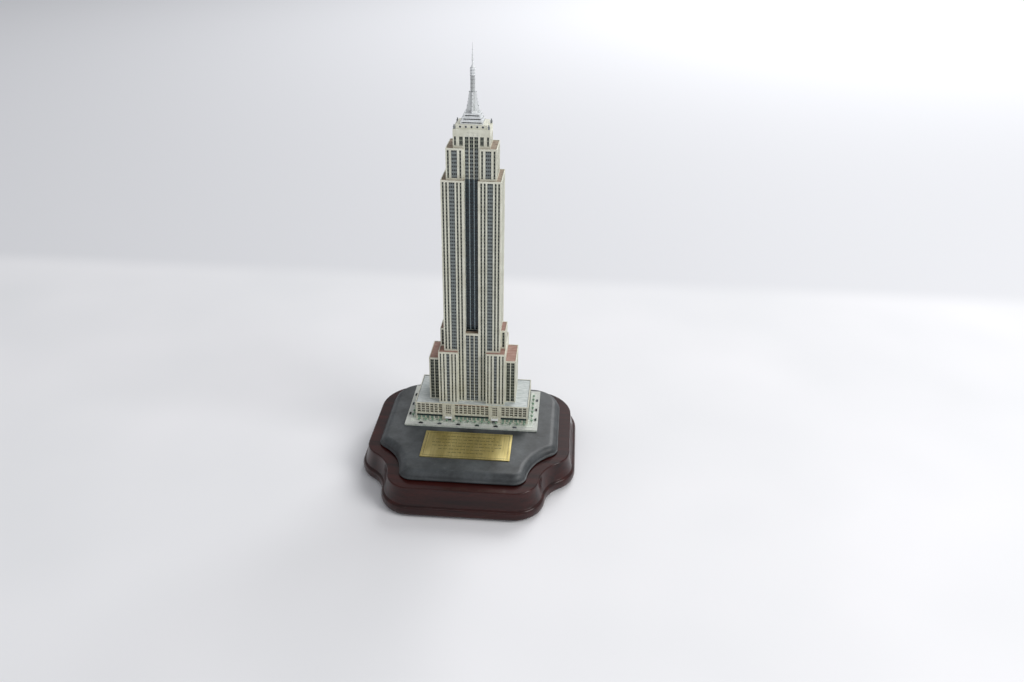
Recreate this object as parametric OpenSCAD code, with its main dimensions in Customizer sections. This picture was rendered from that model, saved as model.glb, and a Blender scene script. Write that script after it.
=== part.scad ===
// Lit souvenir tower: a setback office tower on its street block, a stone-look base and
// a moulded wooden plinth that holds the batteries and the switch.
// Millimetres, +Z up. The origin is the middle of the plinth on the table; the front faces -Y.

/* [Tower] */
// Width of the main shaft
shaft_w = 50; // [43:0.2:60]
// Depth of the main shaft
shaft_d = 36.4; // [31:0.2:44]
// Height of the main shaft above the podium roof
shaft_h = 209.2; // [174:0.2:252]
// Height of the outer wing block above the podium roof
wing_low_h = 42.8; // [35:0.2:48]
// Height of the corner blocks above the podium roof
wing_mid_h = 52.4; // [49:0.2:62]
// Height of the narrow side block above the podium roof
wing_top_h = 69.8; // [63:0.2:84]
// How far the narrow side block stands out of the shaft's side
wing_top_out = 4.45; // [3.6:0.05:4.8]
// How far the corner blocks stand out of the shaft's side
wing_mid_out = 4.9; // [4.85:0.05:6]
// How far the outer wing block stands out of the shaft's side
wing_low_out = 14.35; // [12:0.05:17]
// How far the corner blocks stand in front of the shaft
wing_mid_front = 4.2; // [3:0.1:5]
// Setback of the outer wing block behind the shaft's front
wing_low_back = 1.8; // [1:0.1:2.4]
// Setback of the narrow side block behind the shaft's front
wing_top_back = 8.6; // [7:0.1:10]
// Half width of the open middle between the corner blocks
middle_half = 12.7; // [12.2:0.05:13.2]
// Half width of the recess up the middle of the shaft
recess_half = 5.7; // [5:0.1:6]
// Height of the upper tier
tier_h = 25.6; // [21:0.2:31]
// Side setback of the upper tier
tier_side = 4.2; // [3:0.1:5]
// Front setback of the upper tier
tier_front = 3.4; // [2.6:0.1:4]
// Height of the crown block
crown_h = 14.8; // [12:0.1:18]
// Side setback of the crown block
crown_side = 5.7; // [4.4:0.1:6.8]
// Front setback of the crown block
crown_front = 3.2; // [2.6:0.1:3.8]
// Height of the frieze with the portholes
frieze_h = 3.2; // [2.6:0.1:4]
// Height of one step of the observation deck
deck_step_h = 2.55; // [2:0.05:3]
// Height of the winged mast
mast_h = 29.1; // [24:0.1:35]
// Height of the beacon on the mast
beacon_h = 7.6; // [6:0.1:9]
// Height of the antenna above the beacon
antenna_h = 17.2; // [14:0.1:21]

/* [Walls and windows] */
// Wall thickness of the hollow castings
wall = 3; // [2.5:0.1:3.4]
// Height of the parapet round each roof
parapet = 0.6; // [0.4:0.1:0.8]
// Width of a single window column
single_w = 1.5; // [1.25:0.05:1.8]
// Width of a triple window column
triple_w = 4.8; // [4:0.05:5.2]
// Depth of the groove that holds a window strip
groove = 1; // [0.8:0.05:1.2]
// How far the glass lies behind the wall's face
glass_sink = 0.4; // [0.3:0.05:0.5]

/* [Street block] */
// Height of the podium
podium_h = 17.2; // [15.4:0.2:20.6]
// Width of the podium roof beside the wing block
podium_side = 12.35; // [10:0.05:15]
// Depth of the podium roof in front of the corner blocks
podium_front = 2.8; // [2.2:0.1:3.4]
// Pier at the podium's corners
corner_pier = 1.2; // [1:0.1:1.5]
// Width of the entrance bays
pavilion_w = 11; // [9:0.2:13]
// Width of the pavement and street round the podium
street_w = 9; // [7.5:0.1:11]
// Thickness of the street slab
slab_t = 2; // [1.6:0.1:2.4]

/* [Name plate] */
// Width of the brass name plate
plate_w = 78.4; // [66:0.2:94]
// Depth of the brass name plate
plate_d = 39.7; // [33:0.1:47]
// Thickness of the brass name plate
plate_t = 0.8; // [0.6:0.1:1.2]
// Gap between the street slab and the name plate
plate_gap = 8.1; // [6:0.1:12]

/* [Stone-look base] */
// Stone beside the street slab
stone_side = 19.5; // [17:0.1:24]
// Stone behind the street slab
stone_back = 11.4; // [10:0.1:14]
// Stone in front of the name plate
stone_front = 23.6; // [20:0.1:28]
// Height of the stone-look base
stone_h = 8.4; // [7.4:0.1:10]
// Radius of the small rounds at the front corners
corner_r = 12; // [10:0.5:14]
// Radius of the hollow at the front corners
cove_r = 46.5; // [42:0.5:54]
// Radius of the back corners
back_r = 28; // [25:0.5:33]

/* [Wooden plinth] */
// Air above the battery case in the cavity
headroom = 1.2; // [0.8:0.1:4]
// Width of the ledge beside and in front of the stone
ledge_w = 10.2; // [8:0.1:12]
// How far the bottom bead stands out of the stone's edge
bead_out = 16.3; // [14.5:0.1:19]
// Thickness of the wood above the cavity
wood_top = 5; // [4.4:0.1:6]
// Thickness of the rubber feet
foot_t = 1.2; // [1:0.1:2]
// Diameter of the rubber feet
foot_d = 14; // [10:0.5:16]

/* [Light and batteries] */
// Diameter of the frosted light tube
tube_d = 15; // [12:0.5:15.5]
// Diameter of one battery
cell_d = 14.5; // [10.5:0.1:14.5]
// Length of one battery
cell_l = 50.5; // [44.5:0.1:50.5]
// Thickness of the bottom cover
cover_t = 3; // [2.4:0.1:3.4]
// Diameter of the battery door's hinge pins
pin_d = 1.4; // [1.2:0.05:1.6]
// Travel of the switch slider
switch_travel = 4; // [3.4:0.1:4.6]

/* [Fits] */
// Clearance round glued and slid-in pieces
fit = 0.05; // [0.03:0.01:0.1]
// Clearance round moving pieces
run_gap = 0.3; // [0.2:0.05:0.4]
// Radial clearance round the hinge pins
pin_gap = 0.1; // [0.05:0.01:0.15]

/* [Hidden] */
$fn = 48;
eps = 0.02;       // overlap of cuts past a face
ivory = [0.87, 0.86, 0.78];
glass = [0.13, 0.16, 0.17];

// ---- Plan sizes, from the shaft outwards ----
tier_w = shaft_w - 2 * tier_side;
tier_d = shaft_d - 2 * tier_front;
crown_w = tier_w - 2 * crown_side;
crown_d = tier_d - 2 * crown_front;
top_w = shaft_w + 2 * wing_top_out;
top_d = shaft_d - 2 * wing_top_back;
mid_w = shaft_w + 2 * wing_mid_out;
mid_d = shaft_d + 2 * wing_mid_front;
low_w = shaft_w + 2 * wing_low_out;
low_d = shaft_d - 2 * wing_low_back;
podium_w = low_w + 2 * podium_side;
podium_d = mid_d + 2 * podium_front;
slab_w = podium_w + 2 * street_w;
slab_d = podium_d + 2 * street_w;
stone_w = slab_w + 2 * stone_side;
stone_d = stone_back + slab_d + plate_gap + plate_d + stone_front;
block_y = stone_d / 2 - stone_back - slab_d / 2;
plate_y = block_y - slab_d / 2 - plate_gap - plate_d / 2;

// ---- Levels ----
case_h = cell_d + 1.5;
wood_h = cover_t + case_h + headroom + wood_top;
wood_z = foot_t;
stone_z = wood_z + wood_h;
slab_z = stone_z + stone_h;
street_z = slab_z + slab_t;
roof_z = street_z + podium_h;
shaft_top = roof_z + shaft_h;
tier_top = shaft_top + tier_h;
crown_top = tier_top + crown_h;
frieze_top = crown_top + frieze_h;
deck_steps = 3;
deck_top = frieze_top + deck_steps * deck_step_h;
mast_top = deck_top + mast_h;
beacon_top = mast_top + beacon_h;
cavity_z = stone_z - wood_top;

// ---- Outline of the base: rounds, hollow corners and plain back corners ----
nose_side = 3.8;          // centre of the front round beside the name plate
hip_back = 55.6;          // centre of the side round behind the stone's front
nose = [plate_w / 2 + nose_side, corner_r - stone_d / 2];
hip = [stone_w / 2 - corner_r, hip_back - stone_d / 2];
heel = [stone_w / 2 - back_r, stone_d / 2 - back_r];
span = hip - nose;
reach = sqrt(pow(corner_r + cove_r, 2) - span * span / 4);
hollow = (nose + hip) / 2 + reach * [span[1], -span[0]] / norm(span);
nose_a = atan2(hollow[1] - nose[1], hollow[0] - nose[0]);
hip_a = atan2(hollow[1] - hip[1], hollow[0] - hip[0]);

function arc(c, r, a0, a1, n, skip = 0) =
    [for (i = [skip:n - skip]) let (a = a0 + (a1 - a0) * i / n) c + r * [cos(a), sin(a)]];
function flip(v) = [for (i = [len(v) - 1:-1:0]) [-v[i][0], v[i][1]]];
back_less = 4.6;          // how much narrower the wood's ledge is at the back
// How far the back of the outline at offset d lies in; nothing at the bead and on the stone.
function back_in(d) = d <= 0 ? 0 :
    back_less * min(1, max(0, bead_out - d) / (bead_out - ledge_w));
function half_outline(d) = concat(
    arc(nose, corner_r + d, -90, nose_a, 12),
    arc(hollow, cove_r - d, nose_a + 180, hip_a + 180, 14, 1),
    arc(hip, corner_r + d, hip_a, 0, 8),
    arc(heel - [0, back_in(d)], back_r + d, 0, 90, 12));
function outline(d) = concat(half_outline(d), flip(half_outline(d)));

// A solid through rings of the outline, each given as [offset, height]. Both ends are
// fans of triangles round a point in the middle.
module loft(rings) {
    n = len(outline(0));
    last = len(rings) - 1;
    foot = (last + 1) * n;    // index of the point in the middle of the lowest ring
    points = concat(
        [for (r = rings) for (p = outline(r[0])) [p[0], p[1], r[1]]],
        [[0, 0, rings[0][1]], [0, 0, rings[last][1]]]);
    sides = [for (k = [0:last - 1]) for (i = [0:n - 1]) let (j = (i + 1) % n)
        [k * n + i, (k + 1) * n + i, (k + 1) * n + j, k * n + j]];
    caps = [for (i = [0:n - 1]) let (j = (i + 1) % n)
        each [[foot, i, j], [foot + 1, last * n + j, last * n + i]]];
    polyhedron(points, concat(sides, caps));
}

// A block standing on z0, centred on the tower's axis.
module block(w, d, z0, z1) {
    translate([-w / 2, -d / 2, z0]) cube([w, d, z1 - z0]);
}

// A block whose flat roof lies a parapet's height below its edge.
module roofed(w, d, z0, z1) {
    difference() {
        block(w, d, z0, z1);
        block(w - 2 * parapet, d - 2 * parapet, z1 - parapet, z1 + 1);
    }
}

// Plate with round corners, centred on x and y.
module rounded(w, d, t, r) {
    linear_extrude(t) union() {
        square([w - 2 * r, d], center = true);
        square([w, d - 2 * r], center = true);
        for (x = [-1, 1], y = [-1, 1]) translate([x * (w / 2 - r), y * (d / 2 - r)]) circle(r);
    }
}

module at_tower() {
    translate([0, block_y, 0]) children();
}

// ---- Window columns ----
function sum(v, n) = n <= 0 ? 0 : v[n - 1] + sum(v, n - 1);
// Columns of the widths in v between a and b, the gaps between them all alike.
function columns(v, a, b, edge_a, edge_b) =
    let (gap = len(v) < 2 ? 0 : (b - a - edge_a - edge_b - sum(v, len(v))) / (len(v) - 1),
         first = len(v) < 2 ? (a + b - v[0]) / 2 : a + edge_a)
    [for (i = [0:len(v) - 1]) [first + sum(v, i) + i * gap, v[i]]];
function both(v) = concat(v, [for (c = v) [-c[0] - c[1], c[1]]]);
function beyond(v, x) = [for (c = v) if (c[0] >= x || c[0] + c[1] <= -x) c];
function within(v, x) = [for (c = v) if (c[0] < x && c[0] + c[1] > -x) c];

half_front = [single_w, single_w, triple_w, single_w, single_w];
side_row = [single_w, single_w, triple_w, triple_w, triple_w, single_w, single_w];
slim_w = single_w * 0.85; // columns of the corner blocks
twin_w = single_w * 1.8;
edge = 1.2;               // pier at an outer corner
inner_edge = 2;           // pier beside the recess
tier_recess_half = recess_half + 1.1;
sill = 1;                 // wall below a window column
head = 1.6;               // wall above a window column
mass = both(columns(half_front, recess_half, shaft_w / 2, inner_edge, edge));
flank = columns(side_row, -shaft_d / 2, shaft_d / 2, 1.6, 1.6);
middle_bays = columns([3.1, 3.1, 3.1], -recess_half, recess_half, 0.3, 0.3);
low_z = roof_z + wing_low_h;
mid_z = roof_z + wing_mid_h;
top_z = roof_z + wing_top_h;

// Each bay list is [turn, face distance, columns, foot, head].
shaft_bays = [
    [0, shaft_d / 2, within(mass, middle_half), roof_z + sill, shaft_top - head],
    [0, shaft_d / 2, beyond(mass, middle_half), mid_z + sill, shaft_top - head],
    [0, shaft_d / 2, middle_bays, roof_z + sill, top_z - head],
    [90, shaft_w / 2, within(flank, top_d / 2), top_z + sill, shaft_top - head],
    [90, shaft_w / 2, beyond(flank, top_d / 2), mid_z + sill, shaft_top - head]];
wing_bays = [
    [0, mid_d / 2, both(columns([slim_w, slim_w, twin_w, slim_w, slim_w],
        middle_half, mid_w / 2, 1.3, 1.3)), roof_z + sill, mid_z - head],
    [0, low_d / 2, both(columns([3.2, 3.2], mid_w / 2, low_w / 2, 1, 1.2)),
        roof_z + sill, low_z - head],
    [0, top_d / 2, both(columns([2], shaft_w / 2, top_w / 2, 0, 0)), mid_z + sill, top_z - head],
    [90, low_w / 2, columns([single_w, single_w, triple_w, triple_w, single_w, single_w],
        -low_d / 2, low_d / 2, 1.5, 1.5), roof_z + sill, low_z - head],
    [90, mid_w / 2, both(columns([single_w, single_w], low_d / 2, mid_d / 2, 1, 1)),
        roof_z + sill, mid_z - head],
    [90, top_w / 2, columns([single_w, triple_w, single_w], -top_d / 2, top_d / 2, 2, 2),
        mid_z + sill, top_z - head]];
recess_bays = [[0, crown_d / 2, middle_bays, top_z + sill, shaft_top - parapet]];
tier_bays = [
    [0, tier_d / 2, both(columns([single_w, triple_w, single_w], tier_recess_half, tier_w / 2, 1.3, edge)),
        shaft_top + sill, tier_top - head],
    [90, tier_w / 2, columns([single_w, triple_w, triple_w, triple_w, single_w],
        -tier_d / 2, tier_d / 2, 1.3, 1.3), shaft_top + sill, tier_top - head]];
tier_recess = [[0, crown_d / 2, middle_bays, shaft_top - parapet, tier_top - parapet]];
crown_bays = [
    [0, crown_d / 2, both(columns([2.9, 1.6], recess_half, crown_w / 2, 1.3, 1)),
        tier_top + 1.4, crown_top - 6],
    [90, crown_w / 2, columns([2.6, 2.6, 2.6, 2.6], -crown_d / 2, crown_d / 2, 2, 2),
        tier_top + 1.4, crown_top - 6]];
crown_middle = [[0, crown_d / 2, middle_bays, tier_top - parapet, crown_top - 2.4]];

// Boxes for every column of a bay list, on both opposite faces.
module bays(list, play, sink, depth) {
    for (b = list, half = [0, 180], c = b[2]) rotate([0, 0, b[0] + half])
        translate([c[0] + play, sink - b[1], b[3] + play])
            cube([c[1] - 2 * play, depth, b[4] - b[3] - 2 * play]);
}
module grooves(list) {
    bays(list, 0, -eps, groove + eps);
}
module strips(list) {
    bays(list, fit, glass_sink, groove - glass_sink - fit);
}

// ---- Wooden plinth ----
bead_h = 9.6;             // top of the bead above the wood's foot
cavity_w = stone_w - 40.4;
cavity_front = 25.6 - stone_d / 2;
cavity_back = stone_d / 2 - 3.6;
cavity_d = cavity_back - cavity_front;
cavity_y = (cavity_front + cavity_back) / 2;
cavity_r = 8;
rebate = 6;               // ledge that the bottom cover is screwed to
cover_top = wood_z + cover_t;
lead_hole = 10;

seat_y = stone_d / 2 + ledge_w - back_less - 1.3;   // face that the switch plate sits on
switch_z = stone_z - 8.9;
switch_w = 12 + switch_travel - 4;
switch_h = 6;
switch_plate_w = switch_w + 14;
switch_plate_h = 10;
plate_gap_x = 1;          // finger room round the switch plate

face_in = 2.6;            // how far the face above the bead lies behind the bead
wood_rings = concat(
    [[bead_out - 3.7, wood_z], [bead_out - 2.2, wood_z + 0.7]],
    [for (a = [-60:20:60])
        [bead_out - 1.5 + 1.5 * cos(a), wood_z + bead_h / 2 + 4.3 * sin(a)]],
    [[bead_out - 1.3, wood_z + bead_h - 0.7], [bead_out - 1.9, wood_z + bead_h - 0.25],
        [bead_out - 2.5, wood_z + bead_h]],
    [for (i = [0:6]) let (u = i / 6)
        [bead_out - face_in - (bead_out - face_in - 0.5 - ledge_w) * (1.5 * u - 0.5 * u * u),
            wood_z + bead_h + 0.3 + (wood_h - bead_h - 1.1) * u]],
    [[ledge_w + 0.2, stone_z - 0.35], [ledge_w - 0.4, stone_z]]);

module tie_places() {
    for (x = [-1, 1], y = [-1, 1])
        translate([x * (podium_w / 2 - wall - 4.7), block_y + y * (podium_d / 2 - wall - 4.2), 0])
            children();
}
screw_d = 3;
screw_hole = 3.6;
thread_play = 0.02;       // keeps a screw just clear of the hole it bites into

module wood_plinth() color([0.2, 0.09, 0.08]) {
    difference() {
        loft(wood_rings);
        translate([0, cavity_y, wood_z - eps])
            rounded(cavity_w + 2 * rebate, cavity_d + 2 * rebate, cover_t + eps, cavity_r + rebate);
        translate([0, cavity_y, wood_z]) rounded(cavity_w, cavity_d, cavity_z - wood_z, cavity_r);
        at_tower() translate([0, 0, cavity_z - 1]) cylinder(d = lead_hole, h = wood_top + 2);
        tie_places() translate([0, 0, cavity_z - 1]) cylinder(d = screw_hole, h = wood_top + 2);
        translate([-switch_w / 2 - fit, cavity_back - 1, switch_z - switch_h / 2 - fit])
            cube([switch_w + 2 * fit, seat_y - cavity_back + 2, switch_h + 2 * fit]);
        translate([-switch_plate_w / 2 - plate_gap_x, seat_y, switch_z - switch_plate_h / 2 - fit])
            cube([switch_plate_w + 2 * plate_gap_x, 20, switch_plate_h + 2 * fit]);
        cover_screw_places() translate([0, 0, cover_top - 1]) cylinder(d = cover_screw_d, h = 8);
        switch_screw_places() rotate([90, 0, 0]) cylinder(d = small_screw_d, h = 7);
    }
}

// ---- Stone-look base ----
round_run = 6.4;          // width of the rounding inside the rim
lip = 1.2;                // small flat at the rim
rim_h = 2.1;              // height of the rim
stone_rings = concat(
    [[-0.9, stone_z], [-0.9, stone_z + 0.5], [-0.2, stone_z + 0.8], [0, stone_z + 1.1],
     [0, stone_z + 1.6], [-0.4, stone_z + 2]],
    [for (i = [0:7]) let (a = 90 * i / 7)
        [-lip - round_run * (1 - cos(a)), stone_z + rim_h + (stone_h - rim_h) * sin(a)]]);

module slate_base() color([0.33, 0.35, 0.36]) {
    difference() {
        loft(stone_rings);
        at_tower() translate([0, 0, stone_z - 1]) cylinder(d = lead_hole, h = stone_h + 2);
        tie_places() translate([0, 0, stone_z - 1]) cylinder(d = screw_hole, h = stone_h + 2);
        lamp_screw_places() translate([0, 0, slab_z - 4]) cylinder(d = small_screw_d, h = 5);
    }
}

plate_line = 0.15;        // depth and width of the engraved border
plate_border = 1.6;
module name_plate() color([0.75, 0.62, 0.33]) {
    translate([0, plate_y, slab_z]) difference() {
        rounded(plate_w, plate_d, plate_t, 0.5);
        translate([0, 0, plate_t - plate_line]) difference() {
            block(plate_w - 2 * plate_border, plate_d - 2 * plate_border, 0, 1);
            block(plate_w - 2 * plate_border - 2 * plate_line,
                plate_d - 2 * plate_border - 2 * plate_line, -1, 2);
        }
    }
}

// ---- Street block ----
walk_w = 4.6;             // pavement round the podium
kerb_h = 0.35;
module street_slab() color([0.86, 0.87, 0.83]) {
    difference() {
        at_tower() {
            block(slab_w, slab_d, slab_z, street_z - kerb_h);
            block(podium_w + 2 * walk_w, podium_d + 2 * walk_w, slab_z, street_z);
        }
        at_tower() translate([0, 0, slab_z - 1]) cylinder(d = lead_hole, h = slab_t + 2);
        tie_places() translate([0, 0, slab_z - 1]) cylinder(d = screw_hole, h = slab_t + 2);
        lamp_screw_places() translate([0, 0, slab_z - 1]) cylinder(d = small_screw_d, h = slab_t + 2);
    }
}

tree_r = 1.25;            // radius of a tree's crown
tree_h = 3.4;
tree_walk = 3.2;          // trees stand this far from the podium
trees_front = 16;
trees_side = 7;
module tree() {
    cylinder(d = 0.7, h = tree_h - tree_r, $fn = 16);
    translate([0, 0, tree_h - tree_r]) sphere(tree_r, $fn = 24);
}
module street_trees() color([0.3, 0.38, 0.33]) {
    at_tower() translate([0, 0, street_z]) {
        for (side = [-1, 1], i = [0:trees_front - 1])
            translate([(i + 0.5 - trees_front / 2) * podium_w / trees_front,
                side * (podium_d / 2 + tree_walk), 0]) tree();
        for (side = [-1, 1], i = [0:trees_side - 1])
            translate([side * (podium_w / 2 + tree_walk),
                (i + 0.5 - trees_side / 2) * podium_d / trees_side, 0]) tree();
    }
}

car_l = 3.9;
car_w = 1.7;
cars_front = 6;
cars_side = 3;
module car() {
    block(car_l, car_w, 0.25, 0.95);
    translate([-0.15, 0, 0]) block(car_l * 0.5, car_w * 0.86, 0.9, 1.4);
    for (x = [-0.3, 0.3]) translate([x * car_l, -car_w / 2 + 0.1, 0.35]) rotate([-90, 0, 0])
        cylinder(d = 0.7, h = car_w - 0.2, $fn = 16);
}
module street_cars() color([0.16, 0.18, 0.19]) {
    lane = street_w - 2.3;
    at_tower() translate([0, 0, street_z - kerb_h]) {
        for (side = [-1, 1], i = [0:cars_front - 1])
            translate([(i + 0.5 - cars_front / 2) * podium_w / cars_front + side * 3,
                side * (podium_d / 2 + lane), 0]) rotate([0, 0, 90 + side * 90]) car();
        for (side = [-1, 1], i = [0:cars_side - 1])
            translate([side * (podium_w / 2 + lane),
                (i + 0.5 - cars_side / 2) * podium_d / cars_side, 0]) rotate([0, 0, side * 90]) car();
    }
}

// ---- Podium ----
pavilion_out = 0.6;       // how far the entrance bays stand proud
middle_count = 8;
side_count = 6;
end_count = 12;
bay_pitch = (podium_w - 2 * pavilion_w - 2 * corner_pier) / (middle_count + 2 * side_count);
end_pitch = (podium_d - 2 * corner_pier - 0.6) / end_count;
bay_fill = 0.66;          // share of the pitch that is window
shop_h = 6.2;             // height of the shop floor
middle_w = middle_count * bay_pitch;
pavilion_x = (middle_w + pavilion_w) / 2;
function run(n, a, pitch) =
    [for (i = [0:n - 1]) [a + (i + 0.5 - bay_fill / 2) * pitch, bay_fill * pitch]];
front_run = concat(run(middle_count, -middle_w / 2, bay_pitch),
    both(run(side_count, middle_w / 2 + pavilion_w, bay_pitch)));
end_run = run(end_count, -end_count * end_pitch / 2, end_pitch);
podium_bays = [
    [0, podium_d / 2, front_run, street_z + shop_h + 0.6, roof_z - 0.6],
    [0, podium_d / 2 + pavilion_out, both([[pavilion_x - 2.1, 4.2]]),
        street_z + shop_h + 0.6, roof_z - 0.9],
    [90, podium_w / 2, end_run, street_z + shop_h + 0.6, roof_z - 0.6]];
shop_bays = [
    [0, podium_d / 2, front_run, street_z + 0.3, street_z + shop_h - 0.5],
    [90, podium_w / 2, end_run, street_z + 0.3, street_z + shop_h - 0.5]];

boss_d = 7;               // post that a tie screw bites into
tie_tip = roof_z - 6;
cornice_h = 0.5;
cornice_z = street_z + shop_h - cornice_h;
// Shallow shadow line under the shop cornice.
module cornice() {
    difference() {
        block(podium_w + 2, podium_d + 2, cornice_z, cornice_z + cornice_h);
        block(podium_w - cornice_h, podium_d + 2 * pavilion_out - cornice_h,
            cornice_z - 1, cornice_z + 2);
    }
}

module podium_casting() color(ivory) {
    difference() {
        at_tower() {
            block(podium_w, podium_d, street_z, roof_z + parapet);
            for (x = [-1, 1]) translate([x * pavilion_x, 0, 0])
                block(pavilion_w, podium_d + 2 * pavilion_out, street_z, roof_z + parapet / 2);
        }
        at_tower() block(podium_w - 2 * parapet, podium_d - 2 * parapet, roof_z, roof_z + 1);
        difference() {
            at_tower() block(podium_w - 2 * wall, podium_d - 2 * wall, street_z - 1, roof_z - 2.5);
            tie_places() cylinder(d = boss_d, h = roof_z);
        }
        at_tower() translate([0, 0, roof_z - 5]) cylinder(d = tube_d + 1, h = 10);
        tie_places() cylinder(d = screw_d + 2 * thread_play, h = tie_tip + 0.5);
        at_tower() grooves(podium_bays);
        at_tower() grooves(shop_bays);
        at_tower() cornice();
    }
}

module podium_windows() color(glass) {
    at_tower() strips(podium_bays);
}
module storefront_band() color([0.42, 0.58, 0.52]) {
    at_tower() strips(shop_bays);
}

canopy_w = 6.4;
canopy_out = 2.6;
canopy_z = street_z + 3.6;
module entrance_canopies() color([0.93, 0.93, 0.9]) {
    at_tower() for (x = [-1, 1], y = [0, 180]) rotate([0, 0, y])
        translate([x * pavilion_x, -podium_d / 2 - pavilion_out - canopy_out / 2, 0]) {
            block(canopy_w, canopy_out, canopy_z, canopy_z + 0.7);
            block(canopy_w - 1, canopy_out - 0.6, canopy_z + 0.6, canopy_z + 1);
        }
}

// ---- Tower castings ----
module recess_cut(half, face, z0, z1, grow) {
    for (turn = [0, 180]) rotate([0, 0, turn])
        translate([-half - grow, -face - 1, z0])
            cube([2 * (half + grow), face + 1 - crown_d / 2 + grow, z1 - z0]);
}
module shaft_casting() color(ivory) {
    at_tower() difference() {
        roofed(shaft_w, shaft_d, roof_z, shaft_top);
        recess_cut(recess_half, shaft_d / 2, top_z, shaft_top + 1, 0);
        difference() {
            block(shaft_w - 2 * wall, shaft_d - 2 * wall, roof_z - 1, shaft_top - wall);
            recess_cut(recess_half, shaft_d / 2, top_z - wall, shaft_top + 1, wall);
        }
        block(tube_d + 1, tube_d + 1, shaft_top - 2 * wall, shaft_top + 1);
        grooves(shaft_bays);
        grooves(recess_bays);
    }
}

// One side of the stepped foot of the tower, for x above 0.
module wing_mass() {
    difference() {
        union() {
            roofed(low_w, low_d, roof_z, low_z);
            roofed(mid_w, mid_d, roof_z, mid_z);
            roofed(top_w, top_d, roof_z, top_z);
        }
        block(shaft_w, shaft_d, roof_z - 1, top_z + 1);
        block(2 * middle_half, mid_d + 2, roof_z - 1, top_z + 1);
        grooves(wing_bays);
    }
}
module right_wing() color(ivory) {
    at_tower() intersection() {
        wing_mass();
        translate([0, -mid_d, roof_z]) cube([low_w, 2 * mid_d, wing_top_h]);
    }
}
module left_wing() color(ivory) {
    at_tower() intersection() {
        wing_mass();
        translate([-low_w, -mid_d, roof_z]) cube([low_w, 2 * mid_d, wing_top_h]);
    }
}

module tower_windows() color(glass) {
    at_tower() {
        strips(shaft_bays);
        strips(wing_bays);
    }
}
module recess_windows() color([0.11, 0.17, 0.22]) {
    at_tower() strips(recess_bays);
}

module upper_tier() color(ivory) {
    at_tower() difference() {
        roofed(tier_w, tier_d, shaft_top - parapet, tier_top);
        recess_cut(tier_recess_half, tier_d / 2, shaft_top - 1, tier_top + 1, 0);
        block(tier_w - 2 * wall, crown_d - 2 * wall, shaft_top - 1, tier_top - wall);
        grooves(tier_bays);
        grooves(tier_recess);
    }
}
module upper_windows() color(glass) {
    at_tower() {
        strips(tier_bays);
        strips(tier_recess);
    }
}

frieze_in = 2.5;          // setback of the frieze above the crown's shoulder
porthole_d = 1.4;
portholes = 5;
porthole_pitch = (crown_w - 2 * frieze_in) / (portholes + 0.5);
module porthole_places() {
    for (turn = [0, 180], i = [0:portholes - 1]) rotate([0, 0, turn])
        translate([(i - (portholes - 1) / 2) * porthole_pitch, frieze_in / 2 - crown_d / 2,
            crown_top + frieze_h / 2]) rotate([90, 0, 0]) children();
    for (turn = [90, 270], i = [-1:1]) rotate([0, 0, turn])
        translate([i * porthole_pitch, frieze_in - crown_w / 2, crown_top + frieze_h / 2])
            rotate([90, 0, 0]) children();
}
module crown() color(ivory) {
    at_tower() difference() {
        union() {
            block(crown_w, crown_d, tier_top - parapet, crown_top);
            block(crown_w - 2 * frieze_in, crown_d - frieze_in, tier_top, frieze_top);
        }
        block(crown_w - 4 * wall, crown_d - 2 * wall, tier_top - 1, crown_top - wall);
        grooves(crown_bays);
        grooves(crown_middle);
        porthole_places() translate([0, 0, -0.6]) cylinder(d = porthole_d, h = 2, $fn = 24);
    }
}
module crown_windows() color(glass) {
    at_tower() {
        strips(crown_bays);
        strips(crown_middle);
    }
}

finial_w = 1.6;
module crown_finials() color([0.5, 0.52, 0.53]) {
    at_tower() for (x = [-1, 1], y = [-1, 1])
        translate([x * (crown_w / 2 - 1.2), y * (crown_d / 2 - 0.9), crown_top]) {
            block(finial_w, finial_w * 0.8, 0, 2.6);
            block(finial_w * 0.6, finial_w * 0.6, 2.5, 3.9);
            block(finial_w * 1.3, finial_w * 0.4, 1.4, 2.2);
        }
}

deck_w = crown_w - 2 * frieze_in - 7;
deck_d = crown_d - frieze_in - 3.7;
deck_in = 1.2;            // setback of each deck step
slit_w = 1;
slit_h = 0.9;
slit_pitch = 1.85;
slit_deep = 0.5;
function deck_size(i, w) = w - 2 * deck_in * i;
module deck_slits(i) {
    z = frieze_top + i * deck_step_h + 0.8;
    w = deck_size(i, deck_w);
    d = deck_size(i, deck_d);
    for (f = [[0, w, d], [90, d, w]]) let (n = floor((f[1] - 2) / slit_pitch))
        for (k = [0:n - 1], half = [0, 180]) rotate([0, 0, f[0] + half])
            translate([(k - (n - 1) / 2) * slit_pitch - slit_w / 2, -f[2] / 2 - 1, z])
                cube([slit_w, 1 + slit_deep, slit_h]);
}
module observation_deck() color([0.93, 0.95, 0.96]) {
    at_tower() difference() {
        for (i = [0:deck_steps - 1])
            block(deck_size(i, deck_w), deck_size(i, deck_d), frieze_top + i * deck_step_h,
                frieze_top + (i + 1) * deck_step_h);
        for (i = [0:deck_steps - 1]) deck_slits(i);
        translate([0, 0, deck_top - 3]) cylinder(d = mast_peg_d + 2 * fit, h = 4);
    }
}

mast_peg_d = 3;
core_d = 3.6;
fin_t = 1.1;
fin_steps = 6;
fin_top = mast_h * 0.56;
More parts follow.
